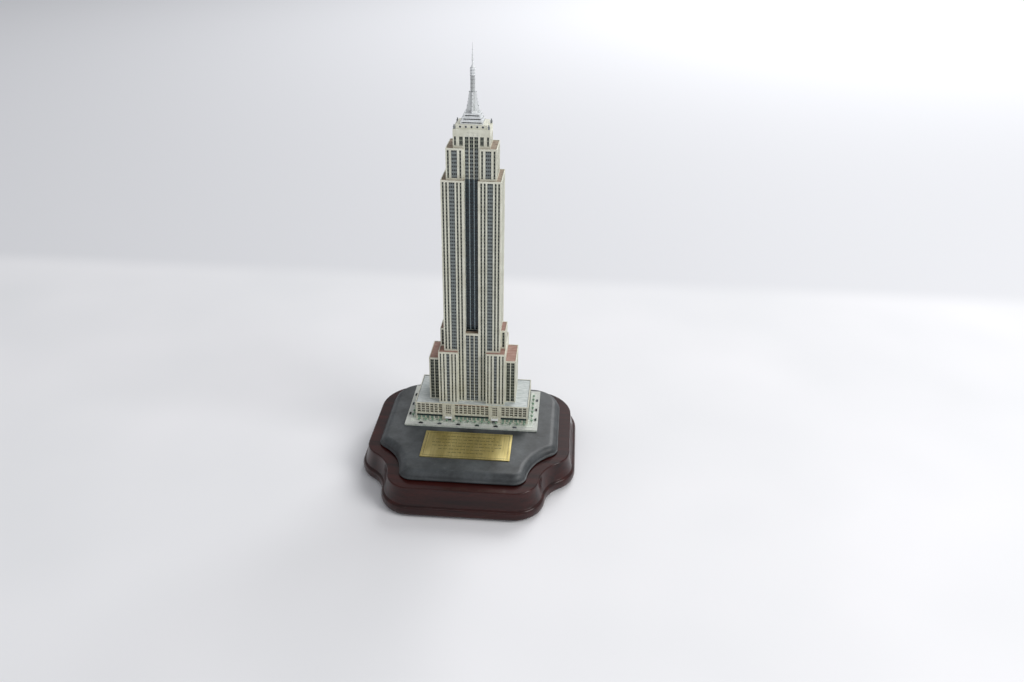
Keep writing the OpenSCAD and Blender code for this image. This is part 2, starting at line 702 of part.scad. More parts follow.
// Radius of the wings' edge at step i, on a curve that sweeps in.
function fin_r(i) = core_d / 2 + 1.1 + 2.6 * pow(1 - i / fin_steps, 1.5);
fin_profile = concat([[0, 0]],
    [for (i = [0:fin_steps - 1]) each [[fin_r(i), i * fin_top / fin_steps],
        [fin_r(i), (i + 1) * fin_top / fin_steps]]], [[0, fin_top]]);
module mast() color([0.72, 0.74, 0.75]) {
    at_tower() translate([0, 0, deck_top]) difference() {
        union() {
            translate([0, 0, -2.8]) cylinder(d = mast_peg_d, h = 3.5);
            block(8, 7, 0, 1.4);
            cylinder(d = core_d, h = mast_h);
            for (a = [0:90:270]) rotate([90, 0, a]) translate([0, 0, -fin_t / 2])
                linear_extrude(fin_t) polygon(fin_profile);
        }
        translate([0, 0, mast_h - 2.5]) cylinder(d = beacon_peg_d + 2 * fit, h = 4, $fn = 32);
    }
}

beacon_peg_d = 2;
beacon_d = 4.4;
module beacon() color([0.85, 0.87, 0.88]) {
    at_tower() translate([0, 0, mast_top]) difference() {
        union() {
            translate([0, 0, -2.4]) cylinder(d = beacon_peg_d, h = 3, $fn = 32);
            cylinder(d = beacon_d * 0.8, h = beacon_h * 0.75);
            cylinder(d = beacon_d, h = beacon_h * 0.12);
            translate([0, 0, beacon_h * 0.28]) cylinder(d = beacon_d, h = beacon_h * 0.16);
            translate([0, 0, beacon_h * 0.6]) cylinder(d = beacon_d, h = beacon_h * 0.15);
            translate([0, 0, beacon_h * 0.74]) cylinder(d1 = beacon_d * 0.78, d2 = 1.6, h = beacon_h * 0.26);
        }
        translate([0, 0, beacon_h - 3]) cylinder(d = antenna_d + 2 * fit, h = 4, $fn = 32);
    }
}

antenna_d = 1.1;
module antenna() color([0.8, 0.81, 0.82]) {
    at_tower() translate([0, 0, beacon_top]) {
        translate([0, 0, -2.8]) cylinder(d = antenna_d, h = 2.8 + antenna_h * 0.45, $fn = 32);
        translate([0, 0, antenna_h * 0.2]) cylinder(d = antenna_d + 0.5, h = 0.5, $fn = 32);
        translate([0, 0, antenna_h * 0.44]) cylinder(d = antenna_d + 0.4, h = 0.5, $fn = 32);
        translate([0, 0, antenna_h * 0.4]) cylinder(d1 = 0.8, d2 = 0.35, h = antenna_h * 0.6, $fn = 32);
    }
}

// ---- Light ----
holder_t = 2;
board_z = street_z + holder_t;
board_d = tube_d - 1.6;
board_t = 1.6;
tube_z = roof_z - 6.5;
tube_top = tier_top - wall - 1;
lamp_screw_r = tube_d / 2 + 6.5;
small_screw_d = 2;
module lamp_screw_places() {
    for (x = [-1, 1]) translate([x * lamp_screw_r, block_y, 0]) children();
}
module light_tube() color([0.95, 0.96, 0.97, 0.7]) {
    at_tower() translate([0, 0, tube_z]) difference() {
        cylinder(d = tube_d, h = tube_top - tube_z);
        translate([0, 0, -1]) cylinder(d = tube_d - 4, h = tube_top - tube_z - 1);
    }
}
module lamp_holder() color([0.92, 0.92, 0.9]) {
    difference() {
        at_tower() translate([0, 0, street_z]) {
            cylinder(d = 2 * lamp_screw_r + 6, h = holder_t);
            cylinder(d = tube_d + 4, h = roof_z - 3 - street_z);
        }
        at_tower() translate([0, 0, board_z]) cylinder(d = board_d + 2 * fit, h = podium_h);
        at_tower() translate([0, 0, tube_z]) cylinder(d = tube_d + 2 * fit, h = podium_h);
        at_tower() translate([0, 0, street_z - 1]) cylinder(d = 7, h = 5);
        lamp_screw_places() translate([0, 0, street_z - 1]) cylinder(d = 2.4, h = 5, $fn = 24);
    }
}
module led_board() color([0.12, 0.4, 0.25]) {
    at_tower() translate([0, 0, board_z]) cylinder(d = board_d, h = board_t);
}
led_count = 3;
led_d = 3;
led_ring = 3.4;
module leds() color([0.97, 0.97, 0.9]) {
    at_tower() for (i = [0:led_count - 1]) rotate([0, 0, i * 360 / led_count])
        translate([led_ring, 0, board_z + board_t]) {
            cylinder(d = led_d + 0.6, h = 0.8, $fn = 32);
            cylinder(d = led_d, h = 3, $fn = 32);
            translate([0, 0, 3]) sphere(d = led_d, $fn = 32);
        }
}
lamp_screw_bite = 3.5;    // how far a lamp screw reaches into the stone
module lamp_screws() color([0.7, 0.7, 0.72]) {
    lamp_screw_places() {
        translate([0, 0, street_z + holder_t]) cylinder(d = 4, h = 1.4, $fn = 32);
        translate([0, 0, slab_z - lamp_screw_bite])
            cylinder(d = small_screw_d - 2 * thread_play, h = lamp_screw_bite + slab_t + holder_t, $fn = 24);
    }
}

// Long screws from the cavity through wood, stone and slab into the podium's posts.
module tie_screws() color([0.7, 0.7, 0.72]) {
    tie_places() difference() {
        union() {
            translate([0, 0, cavity_z - 2.2]) cylinder(d = 6, h = 2.2, $fn = 32);
            translate([0, 0, cavity_z - 1]) cylinder(d = screw_d, h = tie_tip - cavity_z + 1, $fn = 48);
        }
        translate([0, 0, cavity_z - 2.3]) block(4, 0.8, 0, 1);
        translate([0, 0, cavity_z - 2.3]) block(0.8, 4, 0, 1);
    }
}

// ---- Batteries and their case ----
cells = 3;
cell_pitch = cell_d + 1.2;
case_wall = 1.8;
case_w = cells * cell_pitch + 1.3;
case_l = cell_l + 6.5;
case_y = cavity_front + case_l / 2 + 7;
case_top = cover_top + case_h;
cell_z = cover_top + 0.4 + cell_d / 2;

// ---- Leads inside the plinth ----
lead_d = 1.2;
module lead(points) {
    for (i = [0:len(points) - 2]) {
        a = points[i];
        b = points[i + 1];
        v = b - a;
        turn = abs(v[2]) > 0 ? [v[2] > 0 ? 0 : 180, 0, 0]
             : abs(v[0]) > 0 ? [0, v[0] > 0 ? 90 : -90, 0] : [v[1] > 0 ? -90 : 90, 0, 0];
        translate(a) rotate(turn) cylinder(d = lead_d, h = norm(v), $fn = 24);
        if (i > 0) translate(a) sphere(d = lead_d, $fn = 24);
    }
}
case_back = case_y + case_l / 2 + case_wall;
terminal_y = seat_y - 9.6;   // outer ends of the switch's terminals
lead_low = cover_top + 8;
module lead_positive() color([0.7, 0.12, 0.1])
    lead([[-10, case_back, lead_low], [-10, block_y, lead_low], [-2, block_y, lead_low],
        [-2, block_y, board_z]]);
module lead_negative() color([0.08, 0.08, 0.09])
    lead([[10, case_back, lead_low], [10, cavity_back - 5, lead_low], [3, cavity_back - 5, lead_low],
        [3, cavity_back - 5, switch_z], [3, terminal_y, switch_z]]);
module lead_link() color([0.85, 0.8, 0.25])
    lead([[-3, terminal_y, switch_z], [-3, block_y + 4, switch_z], [2, block_y + 4, switch_z],
        [2, block_y, switch_z], [2, block_y, board_z]]);

// ---- Battery case, its contacts and the cells ----
module battery_case() color([0.1, 0.1, 0.11]) {
    translate([0, case_y, 0]) difference() {
        block(case_w + 2 * case_wall, case_l + 2 * case_wall, cover_top, case_top);
        block(case_w, case_l, cover_top - 1, case_top - 0.9);
    }
}
contact_w = 10;
contact_t = 0.5;
module battery_contacts() color([0.75, 0.75, 0.72]) {
    for (i = [0:cells - 1], end = [-1, 1])
        translate([(i - (cells - 1) / 2) * cell_pitch, case_y + end * (case_l - contact_t) / 2, 0]) {
            block(contact_w, contact_t, cover_top + 1.5, cover_top + cell_d - 1.5);
            translate([0, end * (0.1 - contact_t / 2), cell_z]) rotate([end * 90, 0, 0])
                cylinder(d = 4, h = (case_l - cell_l) / 2 - contact_t, $fn = 32);
        }
}
module battery_cells() color([0.2, 0.35, 0.5]) {
    for (i = [0:cells - 1]) translate([(i - (cells - 1) / 2) * cell_pitch, case_y, cell_z])
        rotate([i % 2 == 0 ? 90 : -90, 0, 0]) translate([0, 0, -cell_l / 2]) {
            cylinder(d = cell_d, h = cell_l - 1.2);
            translate([0, 0, cell_l - 1.3]) cylinder(d = 5.4, h = 1.3, $fn = 32);
        }
}

// ---- Bottom cover, battery door and feet ----
door_w = case_w - 1;
door_l = case_l - 1;
door_t = 2;
nose_r = cover_t / 2;
hinge_y = case_y - door_l / 2 + nose_r;
hinge_z = wood_z + nose_r;
pin_l = 2.4;
cover_screw_d = 2.6;
notch_r = 8;
module cover_screw_places() {
    for (x = [-1, 0, 1], y = [-1, 1])
        translate([x * (cavity_w / 2 - 14), cavity_y + y * (cavity_d + rebate) / 2, 0]) children();
}
module bottom_cover() color([0.13, 0.13, 0.14]) {
    difference() {
        translate([0, cavity_y, wood_z])
            rounded(cavity_w + 2 * (rebate - fit), cavity_d + 2 * (rebate - fit), cover_t,
                cavity_r + rebate - fit);
        translate([0, case_y, 0])
            block(door_w + 2 * run_gap, door_l + 2 * run_gap, wood_z - 1, cover_top + 1);
        translate([-door_w / 2 - pin_l - run_gap, hinge_y, hinge_z]) rotate([0, 90, 0])
            cylinder(d = pin_d + 2 * pin_gap, h = door_w + 2 * (pin_l + run_gap));
        translate([0, case_y + door_l / 2 + run_gap, wood_z - 1]) cylinder(r = notch_r, h = 2.2);
        cover_screw_places() {
            cylinder(d = cover_screw_d + 0.4, h = 10);
            cylinder(d = 5.4, h = wood_z + 1.6);
        }
    }
}
module battery_door() color([0.15, 0.15, 0.16]) {
    difference() {
        union() {
            translate([-door_w / 2, hinge_y, wood_z]) cube([door_w, door_l - nose_r, door_t]);
            translate([-door_w / 2, hinge_y, hinge_z]) rotate([0, 90, 0]) cylinder(r = nose_r, h = door_w);
            translate([-door_w / 2 - pin_l, hinge_y, hinge_z]) rotate([0, 90, 0])
                cylinder(d = pin_d, h = door_w + 2 * pin_l);
        }
        for (i = [0:4]) translate([-8, case_y + door_l / 2 - 10 + i * 1.6, wood_z - 1])
            cube([16, 0.8, 1.4]);
    }
}
module cover_screws() color([0.6, 0.6, 0.62]) {
    cover_screw_places() difference() {
        union() {
            translate([0, 0, wood_z + 0.2]) cylinder(d = 5, h = 1.4, $fn = 32);
            translate([0, 0, wood_z + 1]) cylinder(d = cover_screw_d - 2 * thread_play, h = 8, $fn = 32);
        }
        translate([0, 0, wood_z]) block(3.4, 0.7, 0, 0.9);
        translate([0, 0, wood_z]) block(0.7, 3.4, 0, 0.9);
    }
}
module rubber_feet() color([0.1, 0.1, 0.1]) {
    front_y = 3 - stone_d / 2;
    back_y = heel[1] - 6;
    for (x = [-1, 1]) {
        translate([x * (nose[0] - 2), front_y, 0]) cylinder(d = foot_d, h = foot_t);
        translate([x * (stone_w / 2 - 1), back_y, 0]) cylinder(d = foot_d, h = foot_t);
    }
}

// ---- Slide switch in the back of the plinth ----
switch_plate_t = 1;
knob_w = 3.6;
knob_h = 2.6;
flange_w = switch_w - switch_travel - 1.2;
flange_h = 4;
flange_t = 0.8;
pocket_d = 1.4;           // depth of the pocket that the slider's flange runs in
body_d = 8;
terminal = 1.8;           // height and length of a terminal
module switch_screw_places() {
    for (x = [-1, 1]) translate([x * (switch_plate_w / 2 - 3), seat_y, switch_z]) children();
}
module switch_plate() color([0.75, 0.75, 0.74]) {
    difference() {
        translate([0, seat_y + switch_plate_t, switch_z]) rotate([90, 0, 0])
            rounded(switch_plate_w, switch_plate_h, switch_plate_t, 1.5);
        translate([-(knob_w + switch_travel) / 2 - run_gap, seat_y - 1, switch_z - knob_h / 2 - run_gap])
            cube([knob_w + switch_travel + 2 * run_gap, 4, knob_h + 2 * run_gap]);
        switch_screw_places() translate([0, 3, 0]) rotate([90, 0, 0])
            cylinder(d = small_screw_d + 0.4, h = 4, $fn = 24);
    }
}
module switch_body() color([0.3, 0.3, 0.31]) {
    difference() {
        translate([-switch_w / 2, seat_y - body_d, switch_z - switch_h / 2])
            cube([switch_w, body_d, switch_h]);
        translate([-(flange_w + switch_travel) / 2 - run_gap, seat_y - pocket_d,
            switch_z - flange_h / 2 - run_gap])
            cube([flange_w + switch_travel + 2 * run_gap, 4, flange_h + 2 * run_gap]);
    }
    for (x = [-3, 0, 3]) translate([x, terminal_y + terminal / 2, switch_z])
        block(terminal - 0.2, terminal, -terminal / 2, terminal / 2);
}
module switch_slider() color([0.08, 0.08, 0.09]) {
    translate([-switch_travel / 2, 0, switch_z]) {
        translate([-flange_w / 2, seat_y - run_gap - flange_t, -flange_h / 2])
            cube([flange_w, flange_t, flange_h]);
        difference() {
            translate([-knob_w / 2, seat_y - run_gap - 0.1, -knob_h / 2]) cube([knob_w, 2.9, knob_h]);
            for (i = [-1:1]) translate([i * 1 - 0.2, seat_y + 2.2, -knob_h]) cube([0.4, 1, 2 * knob_h]);
        }
    }
}
module switch_screws() color([0.6, 0.6, 0.62]) {
    switch_screw_places() rotate([90, 0, 0]) {
        translate([0, 0, -switch_plate_t - 0.9]) cylinder(d = 3.6, h = 0.9, $fn = 32);
        translate([0, 0, -switch_plate_t - 0.2])
            cylinder(d = small_screw_d - 2 * thread_play, h = 7, $fn = 24);
    }
}

wood_plinth();
slate_base();
name_plate();
street_slab();
street_trees();
street_cars();
podium_casting();
podium_windows();
storefront_band();
entrance_canopies();
shaft_casting();
left_wing();
right_wing();
tower_windows();
recess_windows();
upper_tier();
upper_windows();
crown();
crown_windows();
crown_finials();
observation_deck();
mast();
beacon();
antenna();
light_tube();
lamp_holder();
led_board();
leds();
lamp_screws();
tie_screws();
lead_positive();
lead_negative();
lead_link();
battery_case();
battery_contacts();
battery_cells();
bottom_cover();
battery_door();
cover_screws();
rubber_feet();
switch_plate();
switch_body();
switch_slider();
switch_screws();
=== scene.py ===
import math
import random

import bmesh
import bpy
from bpy.props import FloatProperty, FloatVectorProperty, IntProperty, PointerProperty
from mathutils import Matrix, Vector


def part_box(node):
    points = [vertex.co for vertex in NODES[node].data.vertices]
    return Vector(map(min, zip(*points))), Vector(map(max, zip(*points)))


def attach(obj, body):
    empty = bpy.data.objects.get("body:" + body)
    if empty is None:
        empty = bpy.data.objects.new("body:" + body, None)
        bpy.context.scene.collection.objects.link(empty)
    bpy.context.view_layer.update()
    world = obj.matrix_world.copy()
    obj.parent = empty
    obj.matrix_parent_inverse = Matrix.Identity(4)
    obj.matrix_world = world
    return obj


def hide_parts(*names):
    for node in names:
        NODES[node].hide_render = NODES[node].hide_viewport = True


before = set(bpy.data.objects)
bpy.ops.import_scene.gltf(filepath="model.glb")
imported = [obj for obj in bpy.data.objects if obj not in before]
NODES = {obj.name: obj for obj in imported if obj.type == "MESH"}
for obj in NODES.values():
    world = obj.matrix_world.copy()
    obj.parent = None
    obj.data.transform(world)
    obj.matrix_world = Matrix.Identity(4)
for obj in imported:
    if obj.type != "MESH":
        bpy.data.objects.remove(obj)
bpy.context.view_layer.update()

bl_info = {
    "name": "Lit souvenir tower",
    "version": (1, 0, 0),
    "blender": (4, 5, 0),
    "location": "View3D > Sidebar > Tower",
    "description": "Window lights, painted roofs, street, name plate and finishes of a lit souvenir tower",
    "category": "Object",
}

MM = 0.001                      # one millimetre in the scene's metres
TOWER_X, TOWER_Y = [(a + b) / 2 / MM for a, b in zip(*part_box("shaft_casting"))][:2]


# ---------------------------------------------------------------- colours and nodes

def srgb(code):
    """The linear colour of an sRGB hex value."""
    values = [int(code[i:i + 2], 16) / 255 for i in (1, 3, 5)]
    linear = [v / 12.92 if v <= 0.04045 else ((v + 0.055) / 1.055) ** 2.4 for v in values]
    return (*linear, 1.0)


def per_mm(size):
    """The texture scale whose features are size millimetres across."""
    return 1.0 / (size * MM)


def add(tree, kind, inputs=None, **settings):
    """A shader node with its settings, and with its inputs set or linked."""
    node = tree.nodes.new(kind)
    for key, value in settings.items():
        setattr(node, key, value)
    for key, value in (inputs or {}).items():
        if isinstance(value, bpy.types.NodeSocket):
            tree.links.new(value, node.inputs[key])
        else:
            node.inputs[key].default_value = value
    return node


def new_material(name, roughness=0.5, metallic=0.0, ior=1.5, **sockets):
    """A material with its shader's own sockets set; gives it, its tree, its shader and coordinates."""
    material = bpy.data.materials.new(name)
    material.use_nodes = True
    tree = material.node_tree
    shader = tree.nodes["Principled BSDF"]
    for key, value in {"Roughness": roughness, "Metallic": metallic, "IOR": ior, **sockets}.items():
        shader.inputs[key].default_value = value
    coords = add(tree, "ShaderNodeTexCoord").outputs["Object"]
    return material, tree, shader, coords


def noise(tree, coords, size, detail=3.0, rough=0.55, stretch=(1, 1, 1)):
    """Noise with features of size millimetres, drawn out by stretch."""
    spread = add(tree, "ShaderNodeMapping", {"Vector": coords, "Scale": [1 / s for s in stretch]})
    return add(tree, "ShaderNodeTexNoise", {
        "Vector": spread.outputs["Vector"], "Scale": per_mm(size), "Detail": detail,
        "Roughness": rough}).outputs["Fac"]


def ramp(tree, fac, stops):
    """Colours along fac, as (position, colour) pairs."""
    node = add(tree, "ShaderNodeValToRGB", {"Fac": fac})
    line = node.color_ramp
    while len(line.elements) < len(stops):
        line.elements.new(0.5)
    for element, (position, colour) in zip(line.elements, stops):
        element.position = position
        element.color = colour
    return node.outputs["Color"]


def grey(value):
    return (value, value, value, 1.0)


def mix(tree, fac, a, b, blend="MIX"):
    """Colour a turned to colour b by fac."""
    node = add(tree, "ShaderNodeMix", data_type="RGBA", blend_type=blend)
    for index, value in ((0, fac), (6, a), (7, b)):
        if isinstance(value, bpy.types.NodeSocket):
            tree.links.new(value, node.inputs[index])
        else:
            node.inputs[index].default_value = value
    return node.outputs[2]


def bump(tree, shader, height, depth, strength=1.0):
    """Bump of depth millimetres from a height between 0 and 1."""
    node = add(tree, "ShaderNodeBump", {"Height": height, "Distance": depth * MM, "Strength": strength})
    tree.links.new(node.outputs["Normal"], shader.inputs["Normal"])


def rough_by(tree, shader, fac, low, high):
    """Roughness between low and high as fac goes from 0 to 1."""
    node = add(tree, "ShaderNodeMapRange", {"Value": fac, "To Min": low, "To Max": high})
    tree.links.new(node.outputs["Result"], shader.inputs["Roughness"])


# ---------------------------------------------------------------- materials

def cast_resin(name, base, shade, blotch=9.0):
    """Cold-cast polyester resin, sprayed a satin colour: even, with faint blotches and casting grain."""
    material, tree, shader, coords = new_material(name, roughness=0.5)
    cloud = noise(tree, coords, blotch, 4.0, 0.6)
    grain = noise(tree, coords, 0.5, 2.0, 0.6)
    colour = ramp(tree, cloud, [(0.32, shade), (0.62, base)])
    tree.links.new(colour, shader.inputs["Base Color"])
    rough_by(tree, shader, grain, 0.42, 0.6)
    bump(tree, shader, grain, 0.02, 0.5)
    return material


def painted_roof(name, base, worn):
    """Brushed-on matt acrylic: streaky, lighter where the brush ran dry."""
    material, tree, shader, coords = new_material(name, roughness=0.72)
    streak = noise(tree, coords, 1.6, 4.0, 0.65, (3.5, 1, 1))
    tree.links.new(ramp(tree, streak, [(0.35, base), (0.72, worn)]), shader.inputs["Base Color"])
    bump(tree, shader, streak, 0.05, 0.6)
    return material


def window_paint(name, dark, light, roughness, cell=(3.0, 3.0, 3.16)):
    """Gloss paint behind the lights; one light in a few is a shade paler, as blinds would make it."""
    material, tree, shader, coords = new_material(name, roughness=roughness)
    shader.inputs["Specular IOR Level"].default_value = 0.5
    steps = add(tree, "ShaderNodeVectorMath", {0: coords, 1: [c * MM for c in cell]}, operation="DIVIDE")
    whole = add(tree, "ShaderNodeVectorMath", {0: steps.outputs["Vector"]}, operation="FLOOR")
    pick = add(tree, "ShaderNodeTexWhiteNoise", {"Vector": whole.outputs["Vector"]}).outputs["Value"]
    tree.links.new(ramp(tree, pick, [(0.0, dark), (0.6, dark), (1.0, light)]),
                   shader.inputs["Base Color"])
    return material


def flat_paint(name, colour, roughness=0.5, metallic=0.0, grain=0.6, depth=0.01):
    """Thin sprayed or brushed paint with a faint grain and a slight shift of shade."""
    material, tree, shader, coords = new_material(name, roughness=roughness, metallic=metallic)
    speck = noise(tree, coords, grain, 2.0)
    darker = tuple(c * 0.82 for c in colour[:3]) + (1.0,)
    tree.links.new(ramp(tree, speck, [(0.3, darker), (0.65, colour)]), shader.inputs["Base Color"])
    bump(tree, shader, speck, depth, 0.5)
    return material


def lacquered_mahogany(dark, warm):
    """Mahogany under thick clear lacquer: fine dark grain along the front, mirror-like coat."""
    material, tree, shader, coords = new_material("lacquered_mahogany", roughness=0.42)
    shader.inputs["Specular IOR Level"].default_value = 0.12
    shader.inputs["Coat Weight"].default_value = 0.5
    shader.inputs["Coat Roughness"].default_value = 0.05
    shader.inputs["Coat IOR"].default_value = 1.5
    figure = noise(tree, coords, 7.0, 4.0, 0.6, (9, 1, 1))
    pores = noise(tree, coords, 0.35, 2.0, 0.7, (14, 1, 1))
    body = ramp(tree, figure, [(0.3, dark), (0.7, warm)])
    lines = ramp(tree, pores, [(0.36, grey(0.35)), (0.5, grey(1.0))])
    tree.links.new(mix(tree, 0.55, body, lines, "MULTIPLY"), shader.inputs["Base Color"])
    waves = noise(tree, coords, 30.0, 1.0)
    bump(tree, shader, waves, 0.05, 0.25)
    return material


def stone_resin(dark, pale):
    """Resin cast and sponged to look like honed slate: cloudy greys, scuffs, a dull shine."""
    material, tree, shader, coords = new_material("sponged_slate_resin", roughness=0.48)
    cloud = noise(tree, coords, 26.0, 5.0, 0.62)
    sponge = noise(tree, coords, 2.2, 5.0, 0.7)
    scuff = noise(tree, coords, 7.0, 6.0, 0.72, (2.5, 1, 1))
    body = ramp(tree, cloud, [(0.3, dark), (0.72, pale)])
    dots = ramp(tree, sponge, [(0.35, grey(0.62)), (0.62, grey(1.0))])
    marked = mix(tree, 0.5, body, dots, "MULTIPLY")
    marks = ramp(tree, scuff, [(0.6, grey(0.0)), (0.78, grey(0.32))])
    tree.links.new(mix(tree, marks, marked, srgb("#82888c")), shader.inputs["Base Color"])
    rough_by(tree, shader, scuff, 0.38, 0.56)
    bump(tree, shader, sponge, 0.12, 0.45)
    return material


def brushed_brass(base, dull):
    """Rolled brass sheet brushed from front to back, clear-coated, slightly uneven in tone."""
    material, tree, shader, coords = new_material("brushed_brass", roughness=0.34, metallic=1.0)
    lines = noise(tree, coords, 0.7, 4.0, 0.65, (1, 60, 1))
    tone = noise(tree, coords, 18.0, 3.0, 0.55, (1, 3, 1))
    body = ramp(tree, tone, [(0.3, dull), (0.68, base)])
    streaks = ramp(tree, lines, [(0.3, grey(0.66)), (0.7, grey(1.0))])
    tree.links.new(mix(tree, 0.8, body, streaks, "MULTIPLY"), shader.inputs["Base Color"])
    rough_by(tree, shader, lines, 0.28, 0.44)
    bump(tree, shader, lines, 0.01, 0.5)
    return material


def drawn_metal(name, colour, roughness=0.35, size=0.3):
    """Bare or plated metal with fine turning or drawing marks."""
    material, tree, shader, coords = new_material(name, roughness=roughness, metallic=1.0)
    marks = noise(tree, coords, size, 2.0, 0.6, (1, 1, 6))
    darker = tuple(c * 0.8 for c in colour[:3]) + (1.0,)
    tree.links.new(ramp(tree, marks, [(0.3, darker), (0.6, colour)]), shader.inputs["Base Color"])
    rough_by(tree, shader, marks, roughness - 0.07, roughness + 0.1)
    return material


def moulded_plastic(name, colour, roughness=0.45, texture=0.35):
    """Injection-moulded plastic with a spark-eroded texture."""
    material, tree, shader, coords = new_material(name, roughness=roughness)
    pits = noise(tree, coords, texture, 2.0, 0.7)
    lighter = tuple(min(1.0, c * 1.2 + 0.004) for c in colour[:3]) + (1.0,)
    tree.links.new(ramp(tree, pits, [(0.35, colour), (0.7, lighter)]), shader.inputs["Base Color"])
    bump(tree, shader, pits, 0.02, 0.6)
    return material


def frosted_acrylic():
    """Extruded acrylic, sandblasted so that it glows evenly."""
    material, tree, shader, coords = new_material("frosted_acrylic", roughness=0.4, ior=1.49)
    shader.inputs["Transmission Weight"].default_value = 0.6
    frost = noise(tree, coords, 0.4, 2.0)
    tree.links.new(ramp(tree, frost, [(0.3, srgb("#dfe5e8")), (0.7, srgb("#f4f7f8"))]),
                   shader.inputs["Base Color"])
    return material


def flock(dark, pale):
    """Painted resin foliage: stippled, matt, with paler specks."""
    material, tree, shader, coords = new_material("stippled_foliage", roughness=0.85)
    leaf = noise(tree, coords, 0.7, 4.0, 0.7)
    tree.links.new(ramp(tree, leaf, [(0.35, dark), (0.68, pale)]), shader.inputs["Base Color"])
    bump(tree, shader, leaf, 0.15, 0.8)
    return material


def paved_street(base, joint):
    """Cast street slab painted pale, with paving joints every 1.6 mm and a grey wash in them."""
    material, tree, shader, coords = new_material("washed_street_paint", roughness=0.62)
    bricks = add(tree, "ShaderNodeTexBrick", {
        "Vector": coords, "Color1": grey(1.0), "Color2": grey(0.86), "Mortar": grey(0.35),
        "Scale": per_mm(1.0), "Mortar Size": 0.07, "Brick Width": 1.6, "Row Height": 1.6},
        offset=0.0)
    cloud = noise(tree, coords, 5.0, 4.0, 0.65)
    body = ramp(tree, cloud, [(0.3, joint), (0.6, base)])
    tree.links.new(mix(tree, 0.45, body, bricks.outputs["Color"], "MULTIPLY"),
                   shader.inputs["Base Color"])
    bump(tree, shader, bricks.outputs["Color"], 0.04, 0.5)
    return material


# ---------------------------------------------------------------- modelling helpers

def only(obj):
    """Deselects everything and makes obj the active object."""
    if bpy.context.object and bpy.context.object.mode != "OBJECT":
        bpy.ops.object.mode_set(mode="OBJECT")
    bpy.ops.object.select_all(action="DESELECT")
    if obj:
        obj.select_set(True)
        bpy.context.view_layer.objects.active = obj
    return obj


def settle(obj):
    """Puts the object at the origin, unturned and unscaled, with its place in its mesh."""
    only(obj)
    bpy.ops.object.transform_apply(location=True, rotation=True, scale=True)
    return obj


def block(low, high):
    """A box between two corners, in millimetres."""
    only(None)
    size = [(b - a) * MM for a, b in zip(low, high)]
    middle = [(a + b) / 2 * MM for a, b in zip(low, high)]
    bpy.ops.mesh.primitive_cube_add(size=1, location=middle, scale=size)
    return settle(bpy.context.object)


def modified(obj, kind, **settings):
    """Adds a modifier with its settings and applies it."""
    only(obj)
    modifier = obj.modifiers.new(kind.lower(), kind)
    for key, value in settings.items():
        setattr(modifier, key, value)
    bpy.ops.object.modifier_apply(modifier=modifier.name)
    return obj


def repeated(obj, count, step):
    """Copies along step, in millimetres, joined into one mesh."""
    if count < 2:
        return obj
    return modified(obj, "ARRAY", count=count, use_relative_offset=False, use_constant_offset=True,
                    constant_offset_displace=[s * MM for s in step])


def rounded(obj, width, segments=2):
    """Bevels the sharp edges by width millimetres."""
    return modified(obj, "BEVEL", width=width * MM, segments=segments, limit_method="ANGLE",
                    angle_limit=math.radians(35))


def copy_of(obj, matrix=Matrix.Identity(4)):
    """A copy with its own mesh, moved by a matrix."""
    made = obj.copy()
    made.data = obj.data.copy()
    bpy.context.scene.collection.objects.link(made)
    made.data.transform(matrix)
    return made


def joined(parts):
    """Several objects as one."""
    only(parts[0])
    for part in parts:
        part.select_set(True)
    if len(parts) > 1:
        bpy.ops.object.join()
    return bpy.context.object


def painted(obj, material):
    """Gives every face one material."""
    obj.data.materials.clear()
    obj.data.materials.append(material)
    for polygon in obj.data.polygons:
        polygon.material_index = 0
    return obj


def piece(obj, name, stands_for=(), body="root"):
    """Names a finished piece, and says its body and the nodes that it stands for."""
    obj.name = obj.data.name = name
    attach(obj, body)
    if stands_for:
        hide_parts(*stands_for)
    return obj


def corners(node):
    """Lowest and highest corner of a node, in millimetres."""
    low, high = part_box(node)
    return Vector(low) / MM, Vector(high) / MM


def merged_copy(node):
    """A copy of a node's mesh with its loose triangles merged."""
    made = copy_of(NODES[node])
    made.parent = None
    for key in list(made.keys()):
        del made[key]
    only(made)
    bpy.ops.object.mode_set(mode="EDIT")
    bpy.ops.mesh.select_all(action="SELECT")
    bpy.ops.mesh.remove_doubles(threshold=1e-6)
    bpy.ops.object.mode_set(mode="OBJECT")
    return made


def solids(node):
    """Corners of each separate solid of a node, in millimetres."""
    mesh = bmesh.new()
    mesh.from_mesh(NODES[node].data)
    bmesh.ops.remove_doubles(mesh, verts=mesh.verts, dist=1e-6)
    seen, found = set(), []
    for start in mesh.verts:
        if start in seen:
            continue
        seen.add(start)
        todo, group = [start], []
        while todo:
            vertex = todo.pop()
            group.append(vertex.co / MM)
            for edge in vertex.link_edges:
                other = edge.other_vert(vertex)
                if other not in seen:
                    seen.add(other)
                    todo.append(other)
        found.append((Vector([min(v[i] for v in group) for i in range(3)]),
                      Vector([max(v[i] for v in group) for i in range(3)])))
    mesh.free()
    return found


def facing(low, high):
    """The turn and place of a thin upright solid, as its front centre line at height 0."""
    size, middle = high - low, (low + high) / 2
    if size.y < size.x:
        turn = 0 if middle.y < TOWER_Y else 180
        front = Vector((middle.x, low.y if turn == 0 else high.y, 0))
        return size.x, turn, front
    turn = 90 if middle.x > TOWER_X else -90
    return size.y, turn, Vector((high.x if turn == 90 else low.x, middle.y, 0))


def placed(turn, place):
    """The matrix that turns by degrees about Z and moves to a place in millimetres."""
    return Matrix.Translation(Vector(place) * MM) @ Matrix.Rotation(math.radians(turn), 4, "Z")


